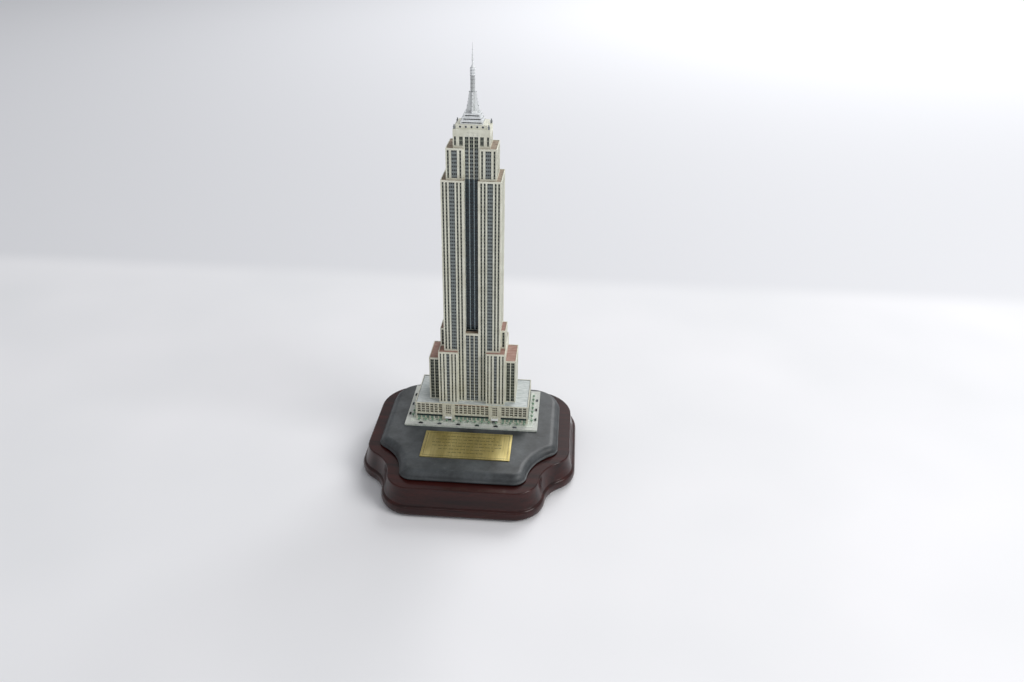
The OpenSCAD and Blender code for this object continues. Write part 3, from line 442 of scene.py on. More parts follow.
def smooth(obj, angle=35):
    """Flat facets joined up, then smooth shading except over edges sharper than angle."""
    only(obj)
    bpy.ops.object.mode_set(mode="EDIT")
    bpy.ops.mesh.select_all(action="SELECT")
    bpy.ops.mesh.dissolve_limited(angle_limit=math.radians(0.4))
    bpy.ops.object.mode_set(mode="OBJECT")
    bpy.ops.object.shade_smooth_by_angle(angle=math.radians(angle))
    return modified(obj, "WEIGHTED_NORMAL", keep_sharp=True)


# ---------------------------------------------------------------- settings

class TowerSizes(bpy.types.PropertyGroup):
    """Sizes of the drawn detail, in millimetres."""
    floor_pitch: FloatProperty(name="Floor pitch", description="Height of one storey of lights", default=3.16)
    spandrel: FloatProperty(name="Spandrel", description="Height of the panel between two lights", default=1.25)
    light_sink: FloatProperty(name="Light sink", description="How far a light lies behind its panel", default=0.3)
    mullion: FloatProperty(name="Mullion", description="Width of the bars of a triple window", default=0.5)
    row_pitch: FloatProperty(name="Row pitch", description="Height of one podium storey", default=2.45)
    roof_skin: FloatProperty(name="Roof skin", description="Thickness of the painted roof", default=0.12)
    engraved_lines: IntProperty(name="Engraved lines", description="Lines of marks on the plate", default=6)


def tint(name, about, code):
    return FloatVectorProperty(name=name, description=about, subtype="COLOR", size=4, min=0, max=1,
                               default=srgb(code))


class TowerColours(bpy.types.PropertyGroup):
    """Colours of the finishes."""
    ivory: tint("Ivory", "Tower castings", "#e2e2d3")
    ivory_shade: tint("Ivory shade", "Blotches of the tower castings", "#cfcebd")
    washed: tint("Washed ivory", "Podium casting", "#dadacb")
    terracotta: tint("Terracotta", "Setback roofs", "#8a6659")
    terracotta_worn: tint("Worn terracotta", "Dry-brushed roofs", "#ae8f85")
    podium_roof: tint("Podium roof", "Roof of the podium", "#acb4b4")
    light_dark: tint("Dark light", "Window lights", "#14181a")
    light_pale: tint("Pale light", "Window lights with blinds", "#2b3230")
    panel: tint("Panel", "Spandrels of single columns", "#767c70")
    panel_grey: tint("Grey panel", "Spandrels and bars of triple columns", "#7d8585")
    navy: tint("Navy", "Lights in the recess", "#09141b")
    navy_panel: tint("Navy panel", "Spandrels in the recess", "#22343c")
    silver_bar: tint("Silver bar", "Bars in the recess", "#93a3ab")
    sepia: tint("Sepia", "Podium lights", "#1f1813")
    awning: tint("Awning", "Dark band over the shops", "#0d2426")
    shop: tint("Shop", "Shop fronts", "#6c9a86")
    mahogany: tint("Mahogany", "Dark of the plinth's wood", "#1c0706")
    mahogany_warm: tint("Warm mahogany", "Light of the plinth's wood", "#3a110d")
    slate: tint("Slate", "Dark of the stone-look base", "#222527")
    slate_pale: tint("Pale slate", "Light of the stone-look base", "#54595c")
    brass: tint("Brass", "Name plate", "#fbeaa6")
    brass_dull: tint("Dull brass", "Darker tone of the name plate", "#bfab68")
    street: tint("Street", "Street slab", "#dfe4da")
    street_wash: tint("Street wash", "Wash in the street slab", "#b4c0b6")
    leaf: tint("Leaf", "Dark of the trees", "#40604e")
    leaf_pale: tint("Pale leaf", "Light of the trees", "#a8c8ae")
    white: tint("White enamel", "Observation deck", "#f1f4f6")
    silver: tint("Silver", "Mast and antenna", "#f0f3f4")


def sizes():
    return bpy.context.scene.tower_sizes


def shade(name):
    return tuple(getattr(bpy.context.scene.tower_colours, name))


FINISHES = {}


def finish_of(name):
    """The named finish, made when it is first asked for."""
    if name not in FINISHES:
        FINISHES[name] = RECIPES[name]()
    return FINISHES[name]


# Each finish by its real material and process.
RECIPES = {
    # Sprayed cast resin: even satin cream.
    "sprayed_ivory_resin": lambda: cast_resin("sprayed_ivory_resin", shade("ivory"), shade("ivory_shade")),
    # The same resin under a thin brown wash, in finer blotches.
    "washed_ivory_resin": lambda: cast_resin("washed_ivory_resin", shade("washed"), srgb("#bfbdab"), 2.2),
    "brushed_terracotta_acrylic": lambda: painted_roof(
        "brushed_terracotta_acrylic", shade("terracotta"), shade("terracotta_worn")),
    "brushed_umber_acrylic": lambda: painted_roof("brushed_umber_acrylic", srgb("#6a584b"), srgb("#b9a894")),
    "brushed_grey_acrylic": lambda: painted_roof("brushed_grey_acrylic", shade("podium_roof"), srgb("#d8dcdb")),
    # Gloss enamel wiped into the lights.
    "gloss_black_enamel": lambda: window_paint(
        "gloss_black_enamel", shade("light_dark"), shade("light_pale"), 0.22),
    "gloss_navy_enamel": lambda: window_paint("gloss_navy_enamel", shade("navy"), srgb("#22363f"), 0.2),
    "sepia_wash_enamel": lambda: window_paint("sepia_wash_enamel", shade("sepia"), srgb("#33291f"), 0.35),
    "shop_green_enamel": lambda: window_paint(
        "shop_green_enamel", shade("shop"), srgb("#31564f"), 0.3, (3.95, 3.95, 30.0)),
    "olive_grey_paint": lambda: flat_paint("olive_grey_paint", shade("panel")),
    "cool_grey_paint": lambda: flat_paint("cool_grey_paint", shade("panel_grey")),
    "navy_panel_paint": lambda: flat_paint("navy_panel_paint", shade("navy_panel"), 0.4),
    "silver_blue_paint": lambda: flat_paint("silver_blue_paint", shade("silver_bar"), 0.38),
    "awning_teal_paint": lambda: flat_paint("awning_teal_paint", shade("awning"), 0.5),
    "shop_white_paint": lambda: flat_paint("shop_white_paint", srgb("#dfe3da"), 0.5),
    "rust_line_paint": lambda: flat_paint("rust_line_paint", srgb("#a4673d"), 0.6),
    "black_etch_enamel": lambda: flat_paint("black_etch_enamel", srgb("#4b3d22"), 0.45),
    # Near-black paint: painted shade in the portholes, in the deck's openings and at the foot of the recess; also the
    # dark glass of the model cars.
    "hollow_shade_and_car_glass_paint": lambda: flat_paint("hollow_shade_and_car_glass_paint", srgb("#15191c"), 0.6),
    "lacquered_mahogany": lambda: lacquered_mahogany(shade("mahogany"), shade("mahogany_warm")),
    "sponged_slate_resin": lambda: stone_resin(shade("slate"), shade("slate_pale")),
    "brushed_brass": lambda: brushed_brass(shade("brass"), shade("brass_dull")),
    "washed_street_paint": lambda: paved_street(shade("street"), shade("street_wash")),
    "road_grey_paint": lambda: flat_paint("road_grey_paint", srgb("#c9ccc6"), 0.75, 0.0, 1.2),
    "stippled_foliage": lambda: flock(shade("leaf"), shade("leaf_pale")),
    "bark_brown_paint": lambda: flat_paint("bark_brown_paint", srgb("#5a4a3a"), 0.8),
    "gloss_black_car_enamel": lambda: flat_paint("gloss_black_car_enamel", srgb("#23262a"), 0.2),
    "gloss_grey_car_enamel": lambda: flat_paint("gloss_grey_car_enamel", srgb("#6a7076"), 0.2),
    "gloss_green_car_enamel": lambda: flat_paint("gloss_green_car_enamel", srgb("#2f4a3f"), 0.2),
    "satin_white_enamel": lambda: flat_paint("satin_white_enamel", shade("white"), 0.32, 0.0, 1.5),
    "satin_grey_enamel": lambda: flat_paint("satin_grey_enamel", srgb("#84898c"), 0.4),
    "cast_zinc_silver": lambda: flat_paint("cast_zinc_silver", shade("silver"), 0.4, 0.2, 0.8),
    "cast_zinc_shadow": lambda: flat_paint("cast_zinc_shadow", srgb("#a2a6a6"), 0.42, 0.2, 0.8),
    "frosted_acrylic": frosted_acrylic,
    "moulded_white_abs": lambda: moulded_plastic("moulded_white_abs", srgb("#e4e4e0"), 0.42),
    "moulded_black_abs": lambda: moulded_plastic("moulded_black_abs", srgb("#1c1d1f"), 0.46),
    "green_solder_mask": lambda: flat_paint("green_solder_mask", srgb("#1d5a36"), 0.3, 0.0, 0.9),
    "clear_epoxy_lens": lambda: flat_paint("clear_epoxy_lens", srgb("#f3efd2"), 0.12, 0.0, 1.0),
    "zinc_plated_steel": lambda: drawn_metal("zinc_plated_steel", srgb("#b9bcc0"), 0.3),
    "extruded_red_pvc": lambda: moulded_plastic("extruded_red_pvc", srgb("#a8211d"), 0.4, 0.6),
    "extruded_black_pvc": lambda: moulded_plastic("extruded_black_pvc", srgb("#1a1a1c"), 0.4, 0.6),
    "extruded_yellow_pvc": lambda: moulded_plastic("extruded_yellow_pvc", srgb("#d0a622"), 0.4, 0.6),
    "printed_cell_sleeve": lambda: flat_paint("printed_cell_sleeve", srgb("#2d3f5c"), 0.25, 0.2, 2.0),
    "moulded_foot_rubber": lambda: moulded_plastic("moulded_foot_rubber", srgb("#2a2a2b"), 0.8, 0.5),
}


# ---------------------------------------------------------------- shapes shared by several pieces

def pick(obj, wanted):
    """Enters edit mode with just the faces that wanted picks by centre, in millimetres, and normal."""
    only(obj)
    bpy.ops.object.mode_set(mode="EDIT")
    bpy.ops.mesh.select_mode(type="FACE")
    bpy.ops.mesh.select_all(action="DESELECT")
    bpy.ops.object.mode_set(mode="OBJECT")
    for polygon in obj.data.polygons:
        polygon.select = bool(wanted(polygon.center / MM, polygon.normal))
    bpy.ops.object.mode_set(mode="EDIT")


def leave(obj):
    bpy.ops.object.mode_set(mode="OBJECT")
    return obj


def without(obj, wanted):
    """Deletes the faces that wanted picks."""
    pick(obj, wanted)
    bpy.ops.mesh.delete(type="FACE")
    return leave(obj)


def sliced(obj, place, normal, drop=False):
    """Cuts the whole mesh by a plane, and drops what lies beyond it if asked, closing the cut."""
    pick(obj, lambda centre, way: True)
    bpy.ops.mesh.bisect(plane_co=Vector(place) * MM, plane_no=normal, clear_outer=drop, use_fill=drop)
    return leave(obj)


def skin(node, wanted, thickness):
    """A coat of paint over the faces of a node that wanted picks."""
    made = merged_copy(node)
    without(made, lambda centre, way: not wanted(centre, way))
    if not made.data.polygons:
        raise RuntimeError("no face of " + node + " takes this paint")
    return modified(made, "SOLIDIFY", thickness=thickness * MM, offset=1.0, use_even_offset=True)


def bay(width, height, lights, pitch, sill, bar, jamb, panel, pane, sink=None):
    """A column of lights whose front stands on y = 0 and whose top is at z = 0: panels between sunk panes."""
    depth = 0.5
    sink = sizes().light_sink if sink is None else sink
    made = block((-width / 2, 0, -pitch), (width / 2, depth, 0))
    sliced(made, (0, 0, sill - pitch), (0, 0, 1))
    light = (width - 2 * jamb - (lights - 1) * bar) / lights
    starts = [-width / 2 + jamb + i * (light + bar) for i in range(lights)]
    for start in starts:
        for edge in (start, start + light):
            sliced(made, (edge, 0, 0), (1, 0, 0))
    pick(made, lambda centre, way: way.y < -0.9 and centre.z > sill - pitch
         and any(start < centre.x < start + light for start in starts))
    bpy.ops.mesh.extrude_region_move(TRANSFORM_OT_translate={"value": (0, sink * MM, 0)})
    leave(made)
    without(made, lambda centre, way: abs(way.z) > 0.9 and (centre.z > -0.001 or centre.z < 0.001 - pitch))
    made.data.materials.append(finish_of(panel))
    made.data.materials.append(finish_of(pane))
    for polygon in made.data.polygons:
        polygon.material_index = int(polygon.normal.y < -0.9 and abs(polygon.center.y / MM - sink) < 0.01)
    modified(made, "ARRAY", count=max(1, math.ceil(height / pitch - 0.02)), use_relative_offset=False,
             use_constant_offset=True, constant_offset_displace=(0, 0, -pitch * MM),
             use_merge_vertices=True, merge_threshold=1e-6)
    sliced(made, (0, 0, -0.001), (0, 0, 1), True)
    return sliced(made, (0, 0, -height), (0, 0, -1), True)


def bays_of(nodes, style):
    """Columns of lights in place of the strips of some nodes; style gives a bay's make by width, or None."""
    units, made = {}, []
    for node in nodes:
        for low, high in solids(node):
            width, turn, front = facing(low, high)
            height = high.z - low.z
            key = (round(width, 1), round(height, 1))
            make, top = style(node, width, high.z)
            if top is None:
                top = high.z
            height -= high.z - top
            if key not in units:
                units[key] = bay(width, height, **make)
            made.append(copy_of(units[key], placed(turn, (front.x, front.y, top))))
    for unit in units.values():
        bpy.data.objects.remove(unit)
    return joined(made)


def four_ways(obj, x=True):
    """The piece at all four mirror places about the tower's two middle planes."""
    made = [obj]
    for sx, sy in ((-1, 1), (1, -1), (-1, -1)):
        if sx < 0 and not x:
            continue
        place = Matrix.Translation((2 * TOWER_X * MM if sx < 0 else 0, 2 * TOWER_Y * MM if sy < 0 else 0, 0))
        other = copy_of(obj, place @ Matrix.Diagonal((sx, sy, 1, 1)))
        if sx * sy < 0:
            other.data.flip_normals()
        made.append(other)
    return joined(made)


def rod(start, end, radius, sides=10):
    """A round rod between two points in millimetres."""
    only(None)
    start, end = Vector(start) * MM, Vector(end) * MM
    bpy.ops.mesh.primitive_cylinder_add(vertices=sides, radius=radius * MM, depth=(end - start).length,
                                        location=(start + end) / 2)
    made = bpy.context.object
    made.rotation_mode = "QUATERNION"
    made.rotation_quaternion = (end - start).to_track_quat("Z", "Y")
    return settle(made)


def ball(place, radius, segments=8, rings=6, squash=1.0):
    """A ball, squashed along Z."""
    only(None)
    bpy.ops.mesh.primitive_uv_sphere_add(segments=segments, ring_count=rings, radius=radius * MM,
                                         location=Vector(place) * MM, scale=(1, 1, squash))
    return settle(bpy.context.object)


def ring(place, radius, thick, axis=(0, 0, 1), segments=24):
    """A round bead bent to a circle."""
    only(None)
    bpy.ops.mesh.primitive_torus_add(major_segments=segments, minor_segments=6, major_radius=radius * MM,
                                     minor_radius=thick * MM, location=Vector(place) * MM,
                                     rotation=Vector(axis).to_track_quat("Z", "Y").to_euler())
    return settle(bpy.context.object)


# ---------------------------------------------------------------- pieces

class TOWER_OT_castings(bpy.types.Operator):
    """Gives the castings and the hidden hardware their finishes"""
    bl_idname = "tower.castings"
    bl_label = "Castings and hardware"

    finishes = {
        "shaft_casting": "sprayed_ivory_resin", "left_wing": "sprayed_ivory_resin",
        "right_wing": "sprayed_ivory_resin", "upper_tier": "sprayed_ivory_resin",
        "crown": "sprayed_ivory_resin", "podium_casting": "washed_ivory_resin",
        "street_slab": "washed_street_paint", "name_plate": "brushed_brass",
        "observation_deck": "satin_white_enamel", "light_tube": "frosted_acrylic",
        "lamp_holder": "moulded_white_abs", "led_board": "green_solder_mask", "leds": "clear_epoxy_lens",
        "lamp_screws": "zinc_plated_steel", "tie_screws": "zinc_plated_steel",
        "cover_screws": "zinc_plated_steel", "switch_screws": "zinc_plated_steel",
        "lead_positive": "extruded_red_pvc", "lead_negative": "extruded_black_pvc",
        "lead_link": "extruded_yellow_pvc", "battery_case": "moulded_black_abs",
        "battery_contacts": "zinc_plated_steel", "battery_cells": "printed_cell_sleeve",
        "bottom_cover": "moulded_black_abs", "battery_door": "moulded_black_abs",
        "rubber_feet": "moulded_foot_rubber", "switch_plate": "zinc_plated_steel",
        "switch_body": "moulded_black_abs", "switch_slider": "moulded_black_abs",
    }

    def execute(self, context):
        for node, finish in self.finishes.items():
            painted_slots = NODES[node].data.materials
            painted_slots.clear()
            painted_slots.append(finish_of(finish))
        return {"FINISHED"}


class TOWER_OT_plinth(bpy.types.Operator):
    """The lacquered plinth and the stone-look base, with their mouldings smoothed"""
    bl_idname = "tower.plinth"
    bl_label = "Plinth and base"

    def execute(self, context):
        for node, name, finish, slot in (
                ("wood_plinth", "lacquered_plinth", "lacquered_mahogany", "lacquered_wood"),
                ("slate_base", "stone_look_base", "sponged_slate_resin", "stone_resin")):
            made = painted(smooth(merged_copy(node), 28), finish_of(finish))
            piece(made, name, (node,))
        return {"FINISHED"}


class TOWER_OT_lights(bpy.types.Operator):
    """Every column of window lights on the tower, its tiers and its recesses"""
    bl_idname = "tower.lights"
    bl_label = "Window lights"

    def execute(self, context):
        made = sizes()
        pitch, sill, bar = made.floor_pitch, made.spandrel, made.mullion
        single = dict(lights=1, pitch=pitch, sill=sill, bar=0, jamb=0.1, panel="olive_grey_paint",
                      pane="gloss_black_enamel")
        pair = dict(single, lights=2, bar=0.35, jamb=0.15)
        cool_pair = dict(pair, panel="cool_grey_paint", sill=sill * 1.2)
        triple = dict(single, lights=3, bar=bar, jamb=0.35, panel="cool_grey_paint", sill=sill * 1.32)
        navy = dict(pair, panel="navy_panel_paint", pane="gloss_navy_enamel", bar=0.3, jamb=0.1)
        crown_pitch = 3.65
        arch_foot = 297.5

        def tower_style(node, width, top):
            if width > 4:
                return triple, None
            if width > 3.05:
                return pair, None
            return (cool_pair if width > 2.2 else single), None

        def recess_style(node, width, top):
            return navy, None

        def crown_style(node, width, top):
            if abs(width - 3) < 0.1:
                return dict(pair, sill=sill), arch_foot
            return dict(pair if width > 2 else single, pitch=crown_pitch, sill=1.1, bar=0.5), None

        for nodes, name, slot, style in (
                (["tower_windows"], "tower_lights", "smoke_glazing", tower_style),
                (["upper_windows"], "tier_lights", "smoke_glazing", tower_style),
                (["recess_windows"], "recess_lights", "navy_glazing", recess_style),
                (["crown_windows"], "crown_lights", "smoke_glazing", crown_style)):
            piece(bays_of(nodes, style), name, nodes)
        return {"FINISHED"}


class TOWER_OT_recess(bpy.types.Operator):
    """The painted bars between the bays of the recess, and the ledge at its foot with a near-black block of painted
    shade behind it
    """
    bl_idname = "tower.recess"
    bl_label = "Recess bars and ledge"

    def execute(self, context):
        recess_low, recess_high = corners("recess_windows")
        shaft_low, shaft_high = corners("shaft_casting")
        front = 18.4
        bars = skin("shaft_casting", lambda c, way: way.y < -0.9 and abs(c.y - front) < 0.05
                    or way.y > 0.9 and abs(2 * TOWER_Y - c.y - front) < 0.05, 0.1)
        painted(bars, finish_of("silver_blue_paint"))
        piece(bars, "recess_bars")
        ledge_z = recess_low.z - 1.05
        lip = block((-5.6, shaft_low.y + 0.15, ledge_z), (5.6, shaft_low.y + 0.75, ledge_z + 0.35))
        rounded(lip, 0.12)
        # A near-black block at the foot of the recess: painted shade where the recess meets its ledge.
        recess_foot_shade = block((-5.55, front - 1.5, ledge_z), (5.55, front - 0.1, ledge_z + 1.1))
        rounded(recess_foot_shade, 0.15)
        painted(lip, finish_of("sprayed_ivory_resin"))
        painted(recess_foot_shade, finish_of("hollow_shade_and_car_glass_paint"))
        piece(four_ways(joined([lip, recess_foot_shade]), x=False), "recess_ledges_and_foot_shade")
        return {"FINISHED"}


class TOWER_OT_roofs(bpy.types.Operator):
    """The painted roofs inside the parapets, with grey strips of painted shade along the podium's parapet"""
    bl_idname = "tower.roofs"
    bl_label = "Painted roofs"

    def execute(self, context):
        thick = sizes().roof_skin
        levels = {"left_wing": (96.2, 105.8, 123.2), "right_wing": (96.2, 105.8, 123.2),
                  "shaft_casting": (123.8, 262.6), "upper_tier": (288.2,)}
        for node, heights in levels.items():
            roof = skin(node, lambda c, way: way.z > 0.9 and any(abs(c.z - h) < 0.05 for h in heights), thick)
            low_roofs = node.endswith("_wing")
            painted(roof, finish_of("brushed_terracotta_acrylic" if low_roofs else "brushed_umber_acrylic"))
            piece(roof, node.replace("_casting", "") + "_roofs")
        deck = skin("podium_casting", lambda c, way: way.z > 0.9 and abs(c.z - 54) < 0.05, thick)
        painted(deck, finish_of("brushed_grey_acrylic"))
        piece(deck, "podium_roof")
        # Grey strips, darker than the roof, along the inner feet of the podium's parapet: painted shade cast by the
        # parapet.
        shade_strips = []
        for node, z, inset in (("podium_casting", 54.0, 0.6),):
            low, high = corners(node)
            low, high = Vector((low.x, 4.8, 0)), Vector((high.x, 55.2, 0))
            for y, flip in ((low.y + inset, 1), (high.y - inset, -1)):
                shade_strips.append(rounded(block((low.x + inset, min(y, y + flip * 0.5), z + 0.05),
                                             (high.x - inset, max(y, y + flip * 0.5), z + 0.32)), 0.08))
            for x, flip in ((low.x + inset, 1), (high.x - inset, -1)):
                shade_strips.append(rounded(block((min(x, x + flip * 0.5), low.y + inset, z + 0.05),
                                             (max(x, x + flip * 0.5), high.y - inset, z + 0.32)), 0.08))
        parapet_shade_piece = painted(joined(shade_strips), finish_of("satin_grey_enamel"))
        piece(parapet_shade_piece, "podium_parapet_shade")
        return {"FINISHED"}


class TOWER_OT_podium(bpy.types.Operator):
    """The podium's rows of lights, shop fronts, awnings, doors, canopies and painted courses"""
    bl_idname = "tower.podium"
    bl_label = "Podium front"

    def execute(self, context):
        row = sizes().row_pitch
        office = dict(lights=2, pitch=row, sill=0.8, bar=0.18, jamb=0.06, panel="washed_ivory_resin",
                      pane="sepia_wash_enamel")
        wide = dict(office, lights=3, bar=0.5)
        shop = dict(lights=2, pitch=3.9, sill=0.7, bar=0.3, jamb=0.16, panel="shop_white_paint",
                    pane="shop_green_enamel")
        fascia = 1.6
        shop_pitch = 3.95           # one awning meets the next over the pier

        lights = bays_of(["podium_windows"], lambda node, width, top: (wide if width > 3 else office, None))
        piece(lights, "podium_lights", ["podium_windows"])
        fronts = bays_of(["storefront_band"], lambda node, width, top: (shop, top - fascia))
        awning = None
        awnings = []
        for low, high in solids("storefront_band"):
            width, turn, front = facing(low, high)
            if awning is None:
                awning = block((-shop_pitch / 2, -0.85, -fascia), (shop_pitch / 2, 0.3, 0))
                pick(awning, lambda c, way: way.z > 0.9)
                bpy.ops.transform.resize(value=(1, 0.7, 1))
                bpy.ops.transform.translate(value=(0, 0.17 * MM, 0))
                leave(awning)
                painted(awning, finish_of("awning_teal_paint"))
            awnings.append(copy_of(awning, placed(turn, (front.x, front.y, high.z))))
        bpy.data.objects.remove(awning)
        piece(joined([fronts] + awnings), "shop_fronts", ["storefront_band"])

        canopy_low, canopy_high = corners("entrance_canopies")
        canopies, doors = [], []
        for low, high in solids("entrance_canopies"):
            middle = (low + high) / 2
            wide_x = high.x - low.x
            near = low.y < TOWER_Y
            slab = rounded(block(low, (high.x, high.y, low.z + 0.7)), 0.12)
            cap = block((low.x + 0.5, low.y + 0.3, low.z + 0.6), (high.x - 0.5, high.y - 0.3, high.z))
            canopies += [slab, rounded(cap, 0.15)]
            wall = high.y if near else low.y
            out = low.y if near else high.y
            for side in (-1, 1):
                foot = (middle.x + side * (wide_x / 2 - 0.5), out + (0.5 if near else -0.5), high.z - 0.4)
                head = (foot[0], wall, high.z + 1.6)
                canopies.append(rod(foot, head, 0.1, 6))
            leaf = block((middle.x - 2.5, -0.12, 36.85), (middle.x + 2.5, 0.05, low.z - 0.02))
            for x in (-1.5, -0.5, 0.5, 1.5):
                sliced(leaf, (middle.x + x, 0, 0), (1, 0, 0))
            pick(leaf, lambda c, way: way.y < -0.9)
            bpy.ops.mesh.inset(thickness=0.1 * MM, use_individual=True)
            bpy.ops.transform.translate(value=(0, 0.06 * MM, 0))
            leave(leaf)
            leaf.data.materials.append(finish_of("satin_grey_enamel"))
            leaf.data.materials.append(finish_of("gloss_black_enamel"))
            for polygon in leaf.data.polygons:
                polygon.material_index = int(polygon.normal.y < -0.9 and polygon.center.y / MM > -0.08)
            leaf.data.transform(placed(0 if near else 180, (0 if near else 2 * middle.x, wall, 0)))
            doors.append(leaf)
        piece(painted(joined(canopies), finish_of("satin_white_enamel")), "canopies",
              ["entrance_canopies"])
        piece(joined(doors), "entrance_doors")

        front = 4.8
        line = rounded(block((-15.4, front - 0.12, 53.55), (15.4, front + 0.02, 53.8)), 0.04)
        course = rounded(block((-51.9, front - 0.18, 43.05), (51.9, front + 0.02, 43.35)), 0.06)
        painted(line, finish_of("rust_line_paint"))
        painted(course, finish_of("washed_ivory_resin"))
        piece(four_ways(joined([line, course]), x=False), "podium_courses")
        return {"FINISHED"}


class TOWER_OT_street(bpy.types.Operator):
    """The road paint, trees, cars and planters on the street slab"""
    bl_idname = "tower.street"
    bl_label = "Street"

    def tree(self, seed):
        """A trunk under a crown of leaves, as high as the castings' trees."""
        draw = random.Random(seed)
        trunk = rod((0, 0, 0), (0, 0, 1.5), 0.22, 7)
        painted(trunk, finish_of("bark_brown_paint"))
        only(None)
        bpy.ops.mesh.primitive_ico_sphere_add(subdivisions=3, radius=1.12 * MM, location=(0, 0, 2.2 * MM))
        crown = settle(bpy.context.object)
        for vertex in crown.data.vertices:
            away = vertex.co - Vector((0, 0, 2.2 * MM))
            vertex.co = Vector((0, 0, 2.2 * MM)) + away * draw.uniform(0.8, 1.08)
        painted(crown, finish_of("stippled_foliage"))
        return joined([trunk, crown])

    def car(self, finish):
        """A saloon car, nose along X, standing on z = 0."""
        body = block((-1.9, -0.8, 0.25), (1.9, 0.8, 0.75))
        for x in (-1.3, -0.7, 0.75, 1.2):
            sliced(body, (x, 0, 0), (1, 0, 0))
        pick(body, lambda c, way: way.z > 0.9 and -1.3 < c.x < 1.2)
        bpy.ops.mesh.extrude_region_move(TRANSFORM_OT_translate={"value": (0, 0, 0.55 * MM)})
        bpy.ops.transform.resize(value=(0.78, 0.84, 1))
        leave(body)
        rounded(body, 0.09)
        body.data.materials.append(finish_of(finish))
        body.data.materials.append(finish_of("hollow_shade_and_car_glass_paint"))
        for polygon in body.data.polygons:
            middle = polygon.center / MM
            polygon.material_index = int(0.85 < middle.z < 1.2 and abs(polygon.normal.z) < 0.85)
        wheels = [rod((x, side * 0.6, 0.32), (x, side * 0.82, 0.32), 0.3, 12)
                  for x in (-1.15, 1.15) for side in (-1, 1)]
        for wheel in wheels:
            painted(rounded(wheel, 0.05, 1), finish_of("moulded_foot_rubber"))
        return joined([body] + wheels)

    def planter(self, seed):
        """A white trough of shrubs, long side along X."""
        draw = random.Random(seed)
        trough = block((-0.95, -0.4, 0), (0.95, 0.4, 0.5))
        pick(trough, lambda c, way: way.z > 0.9)
        bpy.ops.mesh.inset(thickness=0.12 * MM)
        bpy.ops.transform.translate(value=(0, 0, -0.12 * MM))
        leave(trough)
        painted(trough, finish_of("shop_white_paint"))
        shrubs = [ball((x, draw.uniform(-0.08, 0.08), 0.5), draw.uniform(0.3, 0.42), 8, 6)
                  for x in (-0.6, -0.2, 0.2, 0.6)]
        for shrub in shrubs:
            painted(shrub, finish_of("stippled_foliage"))
        return joined([trough] + shrubs)

    def execute(self, context):
        trees = [self.tree(seed) for seed in (3, 8, 21)]
        draw = random.Random(5)
        grove = []
        for index, (low, high) in enumerate(solids("street_trees")):
            middle = (low + high) / 2
            turn = Matrix.Rotation(draw.uniform(0, 6.28), 4, "Z")
            size = Matrix.Diagonal((1, 1, draw.uniform(0.86, 1.0), 1))
            place = Matrix.Translation(Vector((middle.x, middle.y, low.z)) * MM)
            grove.append(copy_of(trees[index % 3], place @ turn @ size))
        for tree in trees:
            bpy.data.objects.remove(tree)
        piece(joined(grove), "trees", ["street_trees"])

        finishes = ("gloss_black_car_enamel", "gloss_grey_car_enamel", "gloss_black_car_enamel",
                    "gloss_green_car_enamel")
        cars = [self.car(finish) for finish in finishes]
        traffic = []
        for index, (low, high) in enumerate(solids("street_cars")):
            middle = (low + high) / 2
            turn = 0 if high.x - low.x > high.y - low.y else 90
            traffic.append(copy_of(cars[index % 4], placed(turn + 180 * (index % 2), (middle.x, middle.y, low.z))))
        for car in cars:
            bpy.data.objects.remove(car)
        piece(joined(traffic), "cars", ["street_cars"])

        road = skin("street_slab", lambda c, way: way.z > 0.9 and c.z < 36.6, 0.04)
        painted(road, finish_of("road_grey_paint"))
        low, high = corners("street_slab")
        dashes = []
        dash = block((-0.9, -0.11, 36.48), (0.9, 0.11, 36.53))
        painted(rounded(dash, 0.02, 1), finish_of("satin_white_enamel"))
        lane = 3.45
        for x in range(-54, 55, 6):
            for y in (low.y + lane, high.y - lane):
                dashes.append(copy_of(dash, Matrix.Translation((x * MM, y * MM, 0))))
        for y in range(3, 58, 6):
            for x in (low.x + lane, high.x - lane):
                dashes.append(copy_of(dash, placed(90, (x, y, 0))))
        bpy.data.objects.remove(dash)
        piece(joined([road] + dashes), "road_paint")

        beds = [self.planter(seed) for seed in (1, 2)]
        row = []
        for index, x in enumerate(range(-48, 49, 4)):
            if abs(abs(x) - 21.3) < 4.5:
                continue
            for turn, y in ((0, 3.75), (180, 2 * TOWER_Y - 3.75)):
                row.append(copy_of(beds[index % 2], placed(turn, (x, y, 36.8))))
        for bed in beds:
            bpy.data.objects.remove(bed)
        piece(joined(row), "planters")
        return {"FINISHED"}


